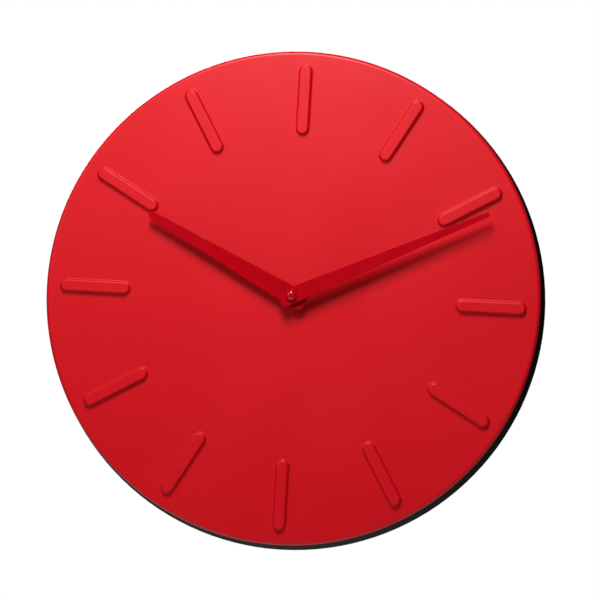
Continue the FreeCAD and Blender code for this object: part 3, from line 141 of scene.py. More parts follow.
def moulded_skin_group():
    """Moulded plastic: a fine grain, slow flow marks and sparse settled dust."""
    tree, given, result = shader_group(
        "Moulded Skin", [("Grain Scale", 4000.0), ("Flow Scale", 14.0)], ["Grain", "Flow", "Dust"]
    )
    here = object_coordinates(tree)
    fine = noise_node(tree, here, given.outputs["Grain Scale"], 4.0, 0.6)
    pits = tree.nodes.new("ShaderNodeTexVoronoi")
    tree.links.new(here, pits.inputs["Vector"])
    tree.links.new(given.outputs["Grain Scale"], pits.inputs["Scale"])
    grain = math_node(tree, "MULTIPLY", fine, math_node(tree, "ADD", pits.outputs["Distance"], 0.4))
    tree.links.new(grain, result.inputs["Grain"])
    flow = noise_node(tree, here, given.outputs["Flow Scale"], 2.0, 0.45, 0.8)
    tree.links.new(flow, result.inputs["Flow"])
    specks = noise_node(tree, here, 1400.0, 1.0, 0.5)
    tree.links.new(remap(tree, specks, 0.70, 0.76), result.inputs["Dust"])
    return tree


def hairline_group():
    """Fine hairline scratches in three directions."""
    tree, given, result = shader_group("Hairlines", [("Density", 0.5)], ["Mask"])
    here = object_coordinates(tree)
    total = None
    directions = ((0.4, (2600.0, 2600.0, 26.0)), (1.5, (3100.0, 3100.0, 34.0)), (2.5, (2200.0, 2200.0, 20.0)))
    for turn, scale in directions:
        lines = noise_node(tree, stretched(tree, here, scale, (0.0, turn, 0.0)), 1.0, 1.0, 0.5)
        edge = remap(tree, given.outputs["Density"], 0.0, 1.0, 0.80, 0.64)
        crossed = math_node(tree, "GREATER_THAN", lines, edge)
        total = crossed if total is None else math_node(tree, "MAXIMUM", total, crossed)
    tree.links.new(total, result.inputs["Mask"])
    return tree


def turned_rings_group():
    """Lathe marks: rings round the hand axis, with a slow change of tone."""
    tree, given, result = shader_group("Turned Rings", [("Ring Scale", 9000.0)], ["Rings", "Tone"])
    apart = tree.nodes.new("ShaderNodeVectorMath")
    apart.operation = "SUBTRACT"
    tree.links.new(object_coordinates(tree), apart.inputs[0])
    apart.inputs[1].default_value = HAND_AXIS
    flat = tree.nodes.new("ShaderNodeVectorMath")
    flat.operation = "MULTIPLY"
    tree.links.new(apart.outputs[0], flat.inputs[0])
    flat.inputs[1].default_value = (1.0, 0.0, 1.0)
    radius = tree.nodes.new("ShaderNodeVectorMath")
    radius.operation = "LENGTH"
    tree.links.new(flat.outputs[0], radius.inputs[0])
    rings = tree.nodes.new("ShaderNodeTexNoise")
    rings.noise_dimensions = "1D"
    tree.links.new(radius.outputs["Value"], rings.inputs["W"])
    tree.links.new(given.outputs["Ring Scale"], rings.inputs["Scale"])
    tree.links.new(rings.outputs["Fac"], result.inputs["Rings"])
    tone = noise_node(tree, object_coordinates(tree), 160.0, 3.0, 0.6)
    tree.links.new(tone, result.inputs["Tone"])
    return tree


def rolled_sheet_group():
    """Rolled metal sheet: long fine lines along X and a slow mottling."""
    tree, given, result = shader_group("Rolled Sheet", [("Line Scale", 3000.0)], ["Lines", "Mottle"])
    here = object_coordinates(tree)
    lines = noise_node(tree, stretched(tree, here, (0.02, 1.0, 1.0)), given.outputs["Line Scale"], 3.0, 0.6)
    tree.links.new(lines, result.inputs["Lines"])
    tree.links.new(noise_node(tree, here, 90.0, 4.0, 0.6, 0.6), result.inputs["Mottle"])
    return tree


def zinc_spangle_group():
    """Zinc plating: small crystals of slightly different tone, and a dull bloom."""
    tree, given, result = shader_group("Zinc Spangle", [("Crystal Scale", 900.0)], ["Crystals", "Bloom"])
    here = object_coordinates(tree)
    cells = tree.nodes.new("ShaderNodeTexVoronoi")
    tree.links.new(here, cells.inputs["Vector"])
    tree.links.new(given.outputs["Crystal Scale"], cells.inputs["Scale"])
    split = tree.nodes.new("ShaderNodeSeparateColor")
    tree.links.new(cells.outputs["Color"], split.inputs["Color"])
    tree.links.new(split.outputs["Red"], result.inputs["Crystals"])
    tree.links.new(noise_node(tree, here, 220.0, 5.0, 0.65), result.inputs["Bloom"])
    return tree


def edge_wear_group():
    """Where an edge stands out, broken up by noise."""
    tree, given, result = shader_group("Edge Wear", [("Reach", 0.55)], ["Mask"])
    sharp = tree.nodes.new("ShaderNodeNewGeometry").outputs["Pointiness"]
    worn = remap(tree, sharp, given.outputs["Reach"], 0.62)
    broken = remap(tree, noise_node(tree, object_coordinates(tree), 900.0, 3.0, 0.6), 0.45, 0.62)
    tree.links.new(math_node(tree, "MULTIPLY", worn, broken), result.inputs["Mask"])
    return tree


SKIN = moulded_skin_group()
HAIRLINES = hairline_group()
RINGS = turned_rings_group()
SHEET = rolled_sheet_group()
SPANGLE = zinc_spangle_group()
WEAR = edge_wear_group()


# ---------------------------------------------------------------- materials


class Finish:
    """A material being built: its tree, its Principled shader and a few short cuts."""

    def __init__(self, name, **constants):
        self.material = bpy.data.materials.new(name)
        self.material.use_nodes = True
        self.tree = self.material.node_tree
        self.shader = self.tree.nodes["Principled BSDF"]
        for label, value in constants.items():
            self.shader.inputs[label.replace("_", " ")].default_value = value

    def effect(self, group, **values):
        node = self.tree.nodes.new("ShaderNodeGroup")
        node.node_tree = group
        for label, value in values.items():
            node.inputs[label.replace("_", " ")].default_value = value
        return node.outputs

    def feed(self, label, value):
        set_input(self.tree, self.shader.inputs[label], value)

    def bump(self, *layers):
        """Stacks (height, distance in mm, strength) layers of bump."""
        normal = None
        for height, distance, strength in layers:
            node = self.tree.nodes.new("ShaderNodeBump")
            self.tree.links.new(height, node.inputs["Height"])
            node.inputs["Distance"].default_value = distance * MM
            node.inputs["Strength"].default_value = strength
            if normal is not None:
                self.tree.links.new(normal, node.inputs["Normal"])
            normal = node.outputs["Normal"]
        self.tree.links.new(normal, self.shader.inputs["Normal"])


def moulded(name, colour, faded, rough, grain_scale=4000.0, grain_depth=0.02, dust=0.25, **constants):
    """Moulded plastic with a grain, slow flow marks, hairlines and a little dust."""
    finish = Finish(name, **constants)
    tree = finish.tree
    skin = finish.effect(SKIN, Grain_Scale=grain_scale)
    lines = finish.effect(HAIRLINES, Density=0.35)["Mask"]
    base = mix_colours(tree, remap(tree, skin["Flow"], 0.35, 0.7), (*colour, 1), (*faded, 1))
    dusty = math_node(tree, "MULTIPLY", skin["Dust"], dust)
    finish.feed("Base Color", mix_colours(tree, dusty, base, (0.55, 0.52, 0.48, 1)))
    roughness = remap(tree, skin["Flow"], 0.3, 0.75, rough - 0.04, rough + 0.05)
    roughness = math_node(tree, "ADD", roughness, math_node(tree, "MULTIPLY", lines, 0.05))
    finish.feed("Roughness", math_node(tree, "ADD", roughness, math_node(tree, "MULTIPLY", dusty, 0.4)))
    finish.bump((skin["Grain"], grain_depth, 0.35), (lines, 0.004, 0.2))
    return finish.material


def red_face_finish():
    """Satin red moulding: an even skin with a faint ripple and a few hairlines."""
    finish = Finish("red_satin_face", IOR=1.5, Specular_IOR_Level=0.28)
    tree = finish.tree
    skin = finish.effect(SKIN, Grain_Scale=2600.0, Flow_Scale=9.0)
    lines = finish.effect(HAIRLINES, Density=0.25)["Mask"]
    flow = remap(tree, skin["Flow"], 0.3, 0.7)
    base = mix_colours(tree, flow, (0.60, 0.0018, 0.0078, 1), (0.63, 0.0022, 0.0088, 1))
    dust = math_node(tree, "MULTIPLY", skin["Dust"], 0.05)
    finish.feed("Base Color", mix_colours(tree, dust, base, (0.7, 0.4, 0.38, 1)))
    rough = remap(tree, skin["Flow"], 0.3, 0.7, 0.35, 0.39)
    finish.feed("Roughness", math_node(tree, "ADD", rough, math_node(tree, "MULTIPLY", lines, 0.06)))
    ripple = noise_node(tree, object_coordinates(tree), 55.0, 2.0, 0.4)
    finish.bump((ripple, 0.12, 0.10), (skin["Grain"], 0.012, 0.25), (lines, 0.003, 0.15))
    return finish.material


def red_lacquer_finish(name, coat):
    """Red lacquer over sheet metal: orange peel under a clear coat, thin or thick."""
    finish = Finish(name, IOR=1.5, Coat_Weight=coat, Coat_Roughness=0.08, Specular_IOR_Level=0.08)
    tree = finish.tree
    here = object_coordinates(tree)
    lines = finish.effect(HAIRLINES, Density=0.3)["Mask"]
    tone = noise_node(tree, here, 60.0, 3.0, 0.5)
    deep = (0.39, 0.0, 0.004, 1)
    light = (0.44, 0.0, 0.006, 1)
    finish.feed("Base Color", mix_colours(tree, tone, deep, light))
    smooth = remap(tree, tone, 0.3, 0.7, 0.26, 0.32)
    finish.feed("Roughness", math_node(tree, "ADD", smooth, math_node(tree, "MULTIPLY", lines, 0.1)))
    peel = noise_node(tree, here, 1300.0, 2.0, 0.4)
    finish.bump((peel, 0.01, 0.3), (lines, 0.003, 0.2))
    return finish.material


def turned_brass_finish(name, light, dark, rough):
    finish = Finish(name, Metallic=1.0)
    tree = finish.tree
    rings = finish.effect(RINGS)
    tone = remap(tree, rings["Tone"], 0.3, 0.7)
    finish.feed("Base Color", mix_colours(tree, tone, (*light, 1), (*dark, 1)))
    finish.feed("Roughness", remap(tree, rings["Rings"], 0.2, 0.8, rough - 0.06, rough + 0.1))
    finish.bump((rings["Rings"], 0.006, 0.4))
    return finish.material


def sheet_metal_finish(name, light, dark, rough, line_scale=3000.0):
    """Rolled sheet with lines, mottling and bright worn edges."""
    finish = Finish(name, Metallic=1.0)
    tree = finish.tree
    sheet = finish.effect(SHEET, Line_Scale=line_scale)
    wear = finish.effect(WEAR)["Mask"]
    base = mix_colours(tree, remap(tree, sheet["Mottle"], 0.3, 0.7), (*light, 1), (*dark, 1))
    finish.feed("Base Color", mix_colours(tree, wear, base, (0.85, 0.85, 0.84, 1)))
    finish.feed("Roughness", remap(tree, sheet["Lines"], 0.25, 0.75, rough - 0.07, rough + 0.08))
    finish.bump((sheet["Lines"], 0.006, 0.35), (sheet["Mottle"], 0.02, 0.1))
    return finish.material


def zinc_finish(name, light, dark):
    finish = Finish(name, Metallic=1.0)
    tree = finish.tree
    zinc = finish.effect(SPANGLE)
    base = mix_colours(tree, zinc["Crystals"], (*light, 1), (*dark, 1))
    bloom = remap(tree, zinc["Bloom"], 0.5, 0.7, 0.0, 0.35)
    finish.feed("Base Color", mix_colours(tree, bloom, base, (0.5, 0.5, 0.48, 1)))
    finish.feed("Roughness", remap(tree, zinc["Bloom"], 0.3, 0.7, 0.26, 0.42))
    finish.bump((zinc["Crystals"], 0.003, 0.3), (zinc["Bloom"], 0.01, 0.15))
    return finish.material


def rubber_finish():
    finish = Finish("pad_rubber_finish", IOR=1.5)
    tree = finish.tree
    skin = finish.effect(SKIN, Grain_Scale=1800.0, Flow_Scale=90.0)
    base = mix_colours(tree, skin["Flow"], (0.022, 0.022, 0.023, 1), (0.045, 0.044, 0.043, 1))
    dusty = math_node(tree, "MULTIPLY", skin["Dust"], 0.5)
    finish.feed("Base Color", mix_colours(tree, dusty, base, (0.3, 0.29, 0.27, 1)))
    finish.feed("Roughness", remap(tree, skin["Grain"], 0.1, 0.7, 0.7, 0.9))
    finish.bump((skin["Grain"], 0.04, 0.5))
    return finish.material


def copper_wire_finish():
    """Enamelled copper, wound in close turns along Z."""
    finish = Finish("enamelled_copper", Metallic=1.0, Coat_Weight=0.7, Coat_Roughness=0.12)
    tree = finish.tree
    turns = tree.nodes.new("ShaderNodeTexWave")
    turns.bands_direction = "Z"
    turns.inputs["Scale"].default_value = 2600.0
    turns.inputs["Distortion"].default_value = 0.4
    tree.links.new(object_coordinates(tree), turns.inputs["Vector"])
    tone = noise_node(tree, object_coordinates(tree), 400.0, 3.0, 0.6)
    finish.feed("Base Color", mix_colours(tree, tone, (0.78, 0.30, 0.13, 1), (0.55, 0.17, 0.06, 1)))
    finish.feed("Roughness", remap(tree, tone, 0.3, 0.7, 0.22, 0.36))
    finish.bump((turns.outputs["Fac"], 0.05, 0.8))
    return finish.material


def laminate_finish():
    """Brown paper laminate with printed copper tracks."""
    finish = Finish("board_laminate", IOR=1.5)
    tree = finish.tree
    here = object_coordinates(tree)
    weave = noise_node(tree, stretched(tree, here, (1.0, 1.0, 6.0)), 900.0, 4.0, 0.6)
    base = mix_colours(tree, weave, (0.30, 0.17, 0.06, 1), (0.42, 0.25, 0.10, 1))
    tracks = tree.nodes.new("ShaderNodeTexBrick")
    tree.links.new(stretched(tree, here, (1.0, 1.0, 1.0), (math.pi / 2, 0.0, 0.0)), tracks.inputs["Vector"])
    tracks.inputs["Scale"].default_value = 160.0
    tracks.inputs["Mortar Size"].default_value = 0.05
    track = tracks.outputs["Fac"]
    finish.feed("Base Color", mix_colours(tree, track, base, (0.62, 0.33, 0.14, 1)))
    finish.feed("Metallic", math_node(tree, "MULTIPLY", track, 0.8))
    finish.feed("Roughness", remap(tree, weave, 0.3, 0.7, 0.38, 0.55))
    finish.bump((track, 0.03, 0.5), (weave, 0.01, 0.3))
    return finish.material


def battery_film_finish():
    """Plain printed film: a dark band and a pale band with a narrow metallic line between."""
    finish = Finish("battery_film_print", IOR=1.5, Coat_Weight=0.4, Coat_Roughness=0.15)
    tree = finish.tree
    here = object_coordinates(tree)
    along = tree.nodes.new("ShaderNodeSeparateXYZ")
    tree.links.new(here, along.inputs["Vector"])
    low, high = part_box("battery_sleeve")
    step_at = low[0] + (high[0] - low[0]) * 0.72
    pale = math_node(tree, "GREATER_THAN", along.outputs["X"], step_at)
    line = math_node(tree, "COMPARE", along.outputs["X"], step_at)
    line.node.inputs[2].default_value = 0.5 * MM
    tone = noise_node(tree, here, 120.0, 3.0, 0.5)
    dark = mix_colours(tree, tone, (0.012, 0.030, 0.075, 1), (0.020, 0.042, 0.095, 1))
    light = mix_colours(tree, tone, (0.50, 0.51, 0.53, 1), (0.60, 0.61, 0.62, 1))
    both = mix_colours(tree, pale, dark, light)
    finish.feed("Base Color", mix_colours(tree, line, both, (0.75, 0.6, 0.3, 1)))
    finish.feed("Metallic", math_node(tree, "MULTIPLY", line, 0.9))
    lines = finish.effect(HAIRLINES, Density=0.5)["Mask"]
    smooth = remap(tree, tone, 0.3, 0.7, 0.28, 0.36)
    finish.feed("Roughness", math_node(tree, "ADD", smooth, math_node(tree, "MULTIPLY", lines, 0.12)))
    finish.bump((tone, 0.02, 0.2), (lines, 0.004, 0.3))
    return finish.material


def make_finishes():
    """Material slot name to finish."""
    brass = turned_brass_finish("turned_brass", (0.80, 0.60, 0.26), (0.62, 0.43, 0.17), 0.28)
    zinc = zinc_finish("zinc_plate", (0.70, 0.71, 0.72), (0.50, 0.51, 0.53))
    acetal = moulded("natural_acetal", (0.74, 0.72, 0.66), (0.80, 0.79, 0.74), 0.42, 3000.0, 0.01, 0.1)
    acetal_shader = acetal.node_tree.nodes["Principled BSDF"]
    acetal_shader.inputs["Subsurface Weight"].default_value = 0.25
    acetal_shader.inputs["Subsurface Scale"].default_value = 0.6 * MM
    iron = sheet_metal_finish("soft_iron_sheet", (0.46, 0.46, 0.48), (0.34, 0.34, 0.37), 0.40)
    return {
        "red_face": red_face_finish(),
        "black_body": moulded(
            "black_body_skin", (0.002, 0.002, 0.0021), (0.004, 0.004, 0.0041), 0.6, 2400.0, 0.05, 0.06,
            Specular_IOR_Level=0.12,
        ),
        "zinc_screw": zinc,
        "hanger_steel": sheet_metal_finish("hanger_sheet", (0.62, 0.63, 0.65), (0.47, 0.48, 0.50), 0.34),
        "pad_rubber": rubber_finish(),
        "red_hand_paint": red_lacquer_finish("red_hand_lacquer", 0.12),
        "red_cap": red_lacquer_finish("red_cap_lacquer", 1.0),
        "collet_brass": brass,
        "shaft_brass": brass,
        "spring_bronze": turned_brass_finish("phosphor_bronze", (0.72, 0.45, 0.22), (0.58, 0.34, 0.15), 0.30),
        "gear_plastic": acetal,
        "knob_plastic": moulded("knob_skin", (0.50, 0.50, 0.48), (0.56, 0.56, 0.54), 0.45, 3000.0, 0.02),
        "magnet_ferrite": moulded("ferrite", (0.05, 0.05, 0.052), (0.09, 0.088, 0.085), 0.62, 5000.0, 0.03),
        "movement_plastic": moulded(
            "movement_skin", (0.016, 0.016, 0.018), (0.026, 0.026, 0.028), 0.46, 3200.0, 0.035
        ),
        "bridge_plastic": moulded("bridge_skin", (0.66, 0.65, 0.62), (0.72, 0.71, 0.68), 0.45, 3000.0, 0.02),
        "stator_iron": iron,
        "bobbin_plastic": moulded("bobbin_skin", (0.62, 0.60, 0.55), (0.70, 0.68, 0.62), 0.45, 3000.0, 0.02),
        "copper_wire": copper_wire_finish(),
        "board_phenolic": laminate_finish(),
        "chip_resin": moulded("chip_resin_drop", (0.01, 0.01, 0.011), (0.02, 0.02, 0.02), 0.22, 1500.0, 0.01),
        "crystal_can": sheet_metal_finish("can_plate", (0.78, 0.78, 0.79), (0.66, 0.66, 0.68), 0.18, 5000.0),
        "battery_metal": sheet_metal_finish("cell_end", (0.72, 0.71, 0.69), (0.58, 0.57, 0.56), 0.26, 4000.0),
        "battery_film": battery_film_finish(),
        "contact_spring": sheet_metal_finish("nickel", (0.75, 0.73, 0.69), (0.60, 0.58, 0.55), 0.28, 3500.0),
    }


FINISHES = make_finishes()
SLOT_OF = {part["node"]: part["material_slot"] for part in frame["record"]["subparts"]}


# ---------------------------------------------------------------- mesh helpers


def add_piece(name, mesh_builder, node, body):
    """Makes a piece from a bmesh, in place of a CAD node, riding on a body."""
    mesh = bpy.data.meshes.new(name)
    bmesh.ops.recalc_face_normals(mesh_builder, faces=mesh_builder.faces)
    mesh_builder.to_mesh(mesh)
    mesh_builder.free()
    mesh.shade_smooth()
    piece = bpy.data.objects.new(name, mesh)
    bpy.context.scene.collection.objects.link(piece)
    slot = SLOT_OF[node]
    mesh.materials.append(FINISHES[slot])
    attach(piece, body)
    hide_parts(node)
    return piece


def keep_flats_flat(piece):
    """Lets large faces set the normals, so that only the rounds shade as curved."""
    weighted = piece.modifiers.new("flat_faces", "WEIGHTED_NORMAL")
    weighted.mode = "FACE_AREA"
    weighted.weight = 100
    return piece


def at_axis(x, y, z):
    """A point given in mm beside the hand axis, with y the height above the face's front plane."""
    return Vector((HAND_AXIS.x + x * MM, FACE_FRONT - y * MM, HAND_AXIS.z + z * MM))


def loop_of(bm, points):
    return [bm.verts.new(point) for point in points]


def bridge(bm, first, second):
    """Quads between two closed loops of the same length."""
    count = len(first)
    for i in range(count):
        j = (i + 1) % count
        bm.faces.new((first[i], first[j], second[j], second[i]))


def fill_flat(bm, *loops):
    """Triangles over a flat region whose rim and holes are closed loops."""
    edges = []
    for loop in loops:
        for i, vert in enumerate(loop):
            after = loop[(i + 1) % len(loop)]
            edges.append(bm.edges.get((vert, after)) or bm.edges.new((vert, after)))
    bmesh.ops.triangle_fill(bm, use_beauty=True, use_dissolve=False, edges=edges)


def circle_points(radius, height, count):
    points = []
    for i in range(count):
        turn = 2 * math.pi * i / count
        points.append(at_axis(radius * math.sin(turn), height, radius * math.cos(turn)))
    return points


def lathe(bm, profile, count):
    """Turns (radius, height) points in mm about the hand axis. A radius of 0 closes the end."""
    last = None
    for radius, height in profile:
        if radius > 0:
            loop = loop_of(bm, circle_points(radius, height, count))
        else:
            loop = [bm.verts.new(at_axis(0, height, 0))]
        if last is not None:
            if len(last) > 1 and len(loop) > 1:
                bridge(bm, last, loop)
            else:
                ring, tip = (last, loop[0]) if len(last) > 1 else (loop, last[0])
                for i in range(len(ring)):
                    bm.faces.new((ring[i], ring[(i + 1) % len(ring)], tip))
        last = loop


def arc(centre, radius, start, end, steps):
    """(radius, height) points on an arc, with angles in degrees from the outward direction."""
    points = []
    for i in range(steps + 1):
        angle = math.radians(start + (end - start) * i / steps)
        points.append((centre[0] + radius * math.cos(angle), centre[1] + radius * math.sin(angle)))
    return points


# ---------------------------------------------------------------- face


# Sizes in mm, seen from the hand axis.
BAR_OUTER = 141.5
BAR_LENGTH = 43.0
BAR_HALF = 4.1
BAR_COUNT = 12
SPOUT_HOLE = 3.7
SPOUT_HOLE_SEGMENTS = 48
HOLE_LIP = 0.3
RIM_ROUND = 2.4
RIM_SEGMENTS = 240
RIM_STEPS = 8
# (distance inwards from the foot, height) up a bar's side, from its soft foot to its crowned top.
BAR_SIDE = [
    (-0.45, 0.0), (-0.2, 0.04), (-0.02, 0.2), (0.1, 0.5), (0.42, 1.4),
    (0.72, 2.25), (0.8, 2.5), (0.92, 2.72), (1.1, 2.88), (1.32, 2.97), (1.6, 3.0),
]


def bar_loop(inset, angle):
    """A stadium round a bar, inset from its foot, as (x, z) points in mm."""
    radius = BAR_HALF - inset
    high, low = BAR_OUTER - BAR_HALF, BAR_OUTER - BAR_LENGTH + BAR_HALF
    points = []
    for centre, start in ((high, 0.0), (low, math.pi)):
        for i in range(ARC_STEPS + 1):
            turn = start + math.pi * i / ARC_STEPS
            points.append((radius * math.cos(turn), centre + radius * math.sin(turn)))
    c, s = math.cos(angle), math.sin(angle)
    return [(x * c + z * s, -x * s + z * c) for x, z in points]


def build_face():
    """The red moulding: a flat front with a rounded rim, and twelve bars that grow out of it."""
    bm = bmesh.new()
    thickness = (FACE_BACK - FACE_FRONT) / MM
    radius = FACE_RADIUS / MM
    flat = loop_of(bm, circle_points(radius - RIM_ROUND, 0.0, RIM_SEGMENTS))
    feet = []
    for number in range(BAR_COUNT):
        angle = 2 * math.pi * number / BAR_COUNT
        last = None
        for inset, height in BAR_SIDE:
            loop = loop_of(bm, [at_axis(x, height, z) for x, z in bar_loop(inset, angle)])
            if last is None:
                feet.append(loop)
            else:
                bridge(bm, last, loop)
            last = loop
        bm.faces.new(last)
    lip = loop_of(bm, circle_points(SPOUT_HOLE + HOLE_LIP, 0.0, SPOUT_HOLE_SEGMENTS))
    fill_flat(bm, flat, lip, *feet)
    hole = loop_of(bm, circle_points(SPOUT_HOLE, 0.0, SPOUT_HOLE_SEGMENTS))
    bridge(bm, lip, hole)
    last = flat
    for across, height in arc((radius - RIM_ROUND, -RIM_ROUND), RIM_ROUND, 90, 0, RIM_STEPS)[1:]:
        loop = loop_of(bm, circle_points(across, max(height, -thickness), RIM_SEGMENTS))
        bridge(bm, last, loop)
        last = loop
    back = loop_of(bm, circle_points(radius, -thickness, RIM_SEGMENTS))
    bridge(bm, last, back)
    hole_back = loop_of(bm, circle_points(SPOUT_HOLE, -thickness, SPOUT_HOLE_SEGMENTS))
    fill_flat(bm, back, hole_back)
    bridge(bm, hole, hole_back)
    return bm


def build_face_piece():
    return keep_flats_flat(add_piece("face_moulding", build_face(), "dial", "clock_body"))


# ---------------------------------------------------------------- hands


def rounded_outline(corners, steps=8):
    """(x, z) points round corners given as (x, z, radius), in order."""
    points = []
    count = len(corners)
    for i, (x, z, radius) in enumerate(corners):
        before, after = Vector(corners[i - 1][:2]), Vector(corners[(i + 1) % count][:2])
        here = Vector((x, z))
        a, b = (before - here).normalized(), (after - here).normalized()
        half = math.acos(max(-1.0, min(1.0, a.dot(b)))) / 2
        reach = radius / math.tan(half)
        centre = here + (a + b).normalized() * radius / math.sin(half)
        start, end = here + a * reach - centre, here + b * reach - centre
        turn = start.angle_signed(end)
        for k in range(steps + 1):
            spun = start.copy()
            spun.rotate(Matrix.Rotation(-turn * k / steps, 2))
            points.append(tuple(centre + spun))
    return points


def inset_outline(points, distance):
    """Moves every point of a closed outline inwards by a distance."""
    moved = []
    count = len(points)
    for i, point in enumerate(points):
        before, after = Vector(points[i - 1]), Vector(points[(i + 1) % count])
        along = (after - before).normalized()
        moved.append((point[0] - along.y * distance, point[1] + along.x * distance))
    return moved


HAND_THICKNESS = 0.8
HAND_EDGE_ROUND = 0.14
HAND_EDGE_STEPS = 4
COLLET_HOLE_SEGMENTS = 32
# Corner radii, as shares of the half width at the tail and of the whole width at the tip.
TAIL_ROUNDNESS = 0.62
TIP_ROUNDNESS = 0.46


def blade(length, tail, width, tip, height, hole, angle):
    """A tapered hand with softly rounded front edges and a hole for its collet."""
    bm = bmesh.new()
    thick, soft = HAND_THICKNESS, HAND_EDGE_ROUND
    half_tail = width / 2 + (width - tip) / 2 * tail / length
    tail_round = half_tail * TAIL_ROUNDNESS
    tip_round = tip * TIP_ROUNDNESS
    outline = rounded_outline(
        [
            (half_tail, -tail, tail_round),
            (tip / 2, length, tip_round),
            (-tip / 2, length, tip_round),
            (-half_tail, -tail, tail_round),
        ]
    )
    c, s = math.cos(math.radians(angle)), math.sin(math.radians(angle))

    def placed(points, level):
        return [at_axis(x * c + z * s, height + level, -x * s + z * c) for x, z in points]

    back = loop_of(bm, placed(outline, 0.0))
    last = loop_of(bm, placed(outline, thick - soft))
    bridge(bm, back, last)
    for step in range(1, HAND_EDGE_STEPS + 1):
        turn = math.radians(90 * step / HAND_EDGE_STEPS)
        inset, level = soft * (1 - math.cos(turn)), thick - soft + soft * math.sin(turn)
        loop = loop_of(bm, placed(inset_outline(outline, inset), level))
        bridge(bm, last, loop)
        last = loop
    around = []
    for i in range(COLLET_HOLE_SEGMENTS):
        turn = 2 * math.pi * i / COLLET_HOLE_SEGMENTS
        around.append((hole * math.cos(turn), hole * math.sin(turn)))
    front_hole, back_hole = loop_of(bm, placed(around, thick)), loop_of(bm, placed(around, 0.0))
    fill_flat(bm, last, front_hole)
    fill_flat(bm, back, back_hole)
    bridge(bm, front_hole, back_hole)
    return bm


def build_hands():
    hour = blade(length=100.0, tail=9.0, width=11.8, tip=4.9, height=6.1, hole=3.42, angle=297.0)
    keep_flats_flat(add_piece("hour_hand_blade", hour, "hour_hand", "hour_hand_group"))
    minute = blade(length=129.0, tail=7.6, width=10.0, tip=2.9, height=9.2, hole=2.17, angle=64.5)
    keep_flats_flat(add_piece("minute_hand_blade", minute, "minute_hand", "minute_hand_group"))


CAP_SEGMENTS = 64


def build_cap():
    """A domed cap with a small rolled foot."""
    bm = bmesh.new()
    foot, radius, top, bore = 10.2, 3.3, 13.2, 1.3
    roll, dome, foot_edge = 0.25, 2.45, 0.35
    profile = [(bore, foot), (radius - foot_edge, foot)]
    profile += arc((radius - roll, foot + roll), roll, -90, 0, 4)
    profile += arc((radius - dome, top - dome), dome, 0, 90, 12)
    profile += [(0.0, top)]
    lathe(bm, profile, CAP_SEGMENTS)
    return add_piece("domed_cap", bm, "hand_cap", "minute_hand_group")


# ---------------------------------------------------------------- softened CAD pieces


def body_of_node(node):
    bodies = frame["record"]["behaviour"]["bodies"]
    return next(body for body, nodes in bodies.items() if node in nodes)


def soften(node, width, angle=35):
    """A copy of a CAD node with its hard edges broken by a small round, as a mould leaves them."""
    source = frame["nodes"][node].data
    bm = bmesh.new()
    bm.from_mesh(source)
    bmesh.ops.remove_doubles(bm, verts=bm.verts, dist=0.002 * MM)
    bmesh.ops.dissolve_limit(bm, angle_limit=math.radians(0.5), verts=bm.verts, edges=bm.edges)
    piece = add_piece(node + "_soft", bm, node, body_of_node(node))
    bevel = piece.modifiers.new("rounded_edges", "BEVEL")
    bevel.width = width * MM
    bevel.segments = 2
    bevel.limit_method = "ANGLE"
    bevel.angle_limit = math.radians(angle)
    bevel.use_clamp_overlap = True
    bevel.harden_normals = True
    return piece


SOFT_EDGES = {
    "case_body": 0.25,
    "movement_front_case": 0.2,
    "movement_rear_case": 0.2,
    "hanger_plate": 0.15,
    "wall_pads": 0.3,
    "dial_screws": 0.12,
    "hanger_screws": 0.12,
    "movement_screws": 0.12,
    "setting_knob": 0.12,
}


def finish_cad_nodes():
    """Gives every CAD node its finish, and softens the ones that show."""
    for node, item in frame["nodes"].items():
        item.data.materials.clear()
        item.data.materials.append(FINISHES[SLOT_OF[node]])
    for node, width in SOFT_EDGES.items():
        soften(node, width)


# ---------------------------------------------------------------- studio


def area_light(name, place, target, size, power):
    lamp = bpy.data.lights.new(name, "AREA")
    lamp.shape = "RECTANGLE"
    lamp.size, lamp.size_y = size
    lamp.energy = power
    item = bpy.data.objects.new(name, lamp)
    bpy.context.scene.collection.objects.link(item)
    item.location = place
    item.rotation_euler = (Vector(target) - Vector(place)).to_track_quat("-Z", "Y").to_euler()
    return item


FLOOR_DROP = 0.62


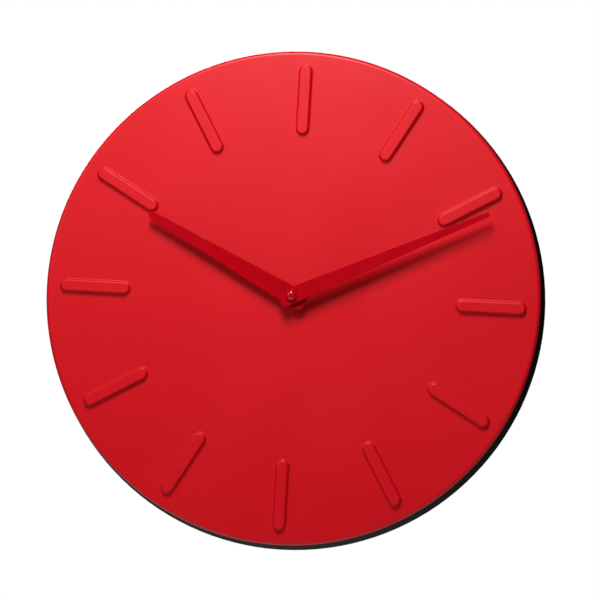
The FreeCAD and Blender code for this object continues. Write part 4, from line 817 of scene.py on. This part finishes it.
def build_studio():
    """A pale floor, a bright even surround and a soft key light from above."""
    world = bpy.data.worlds.new("studio")
    bpy.context.scene.world = world
    world.use_nodes = True
    tree = world.node_tree
    path = tree.nodes.new("ShaderNodeLightPath")
    background = tree.nodes["Background"]
    background.inputs["Color"].default_value = (1.0, 1.0, 1.0, 1.0)
    unseen = remap(tree, path.outputs["Is Glossy Ray"], 0.0, 1.0, 0.12, 0.012)
    strength = tree.nodes.new("ShaderNodeMix")
    tree.links.new(path.outputs["Is Camera Ray"], strength.inputs["Factor"])
    tree.links.new(unseen, strength.inputs["A"])
    strength.inputs["B"].default_value = 1.0
    tree.links.new(strength.outputs["Result"], background.inputs["Strength"])

    bm = bmesh.new()
    corners = [(-1.5, -3), (1.5, -3), (1.5, 0.8), (-1.5, 0.8)]
    bm.faces.new([bm.verts.new((x, y, HAND_AXIS.z - FLOOR_DROP)) for x, y in corners])
    mesh = bpy.data.meshes.new("floor")
    bm.to_mesh(mesh)
    bm.free()
    floor = bpy.data.objects.new("floor", mesh)
    bpy.context.scene.collection.objects.link(floor)
    paper = Finish("floor_paper", Roughness=0.8)
    fibre = noise_node(paper.tree, object_coordinates(paper.tree), 700.0, 4.0, 0.6)
    paper.feed("Base Color", mix_colours(paper.tree, fibre, (0.78, 0.78, 0.77, 1), (0.83, 0.83, 0.82, 1)))
    paper.bump((fibre, 0.05, 0.2))
    mesh.materials.append(paper.material)

    area_light("key", HAND_AXIS + Vector((-0.05, -0.53, 0.49)), HAND_AXIS, (0.20, 0.34), 5.6)
    area_light("sheen", HAND_AXIS + Vector((-0.46, -0.50, 0.24)), HAND_AXIS, (0.25, 0.35), 0.75)
    area_light("back_fill", HAND_AXIS + Vector((-0.6, 1.2, 0.9)), HAND_AXIS, (1.0, 1.0), 30.0)


def build_camera():
    """A long lens, a little to the right of the face's normal and a little below it."""
    camera = bpy.data.cameras.new("camera")
    camera.lens = 300.0
    camera.sensor_width = 36.0
    item = bpy.data.objects.new("camera", camera)
    bpy.context.scene.collection.objects.link(item)
    bpy.context.scene.camera = item
    azimuth, elevation, roll = math.radians(4.6), math.radians(-4.6), math.radians(3.4)
    shown_width = 0.3626
    distance = shown_width * camera.lens / camera.sensor_width
    target = Vector((HAND_AXIS.x, FACE_FRONT, HAND_AXIS.z))
    back = Vector(
        (
            math.sin(azimuth) * math.cos(elevation),
            -math.cos(azimuth) * math.cos(elevation),
            math.sin(elevation),
        )
    )
    turn = (-back).to_track_quat("-Z", "Y").to_matrix().to_4x4() @ Matrix.Rotation(roll, 4, "Z")
    aside, down = 0.0045, 0.0018
    off_centre = turn.to_3x3() @ Vector((aside, -down, 0))
    item.matrix_world = Matrix.Translation(target + back * distance + off_centre) @ turn


finish_cad_nodes()
build_face_piece()
build_hands()
build_cap()
build_studio()
build_camera()
bpy.context.scene.view_settings.view_transform = "Standard"
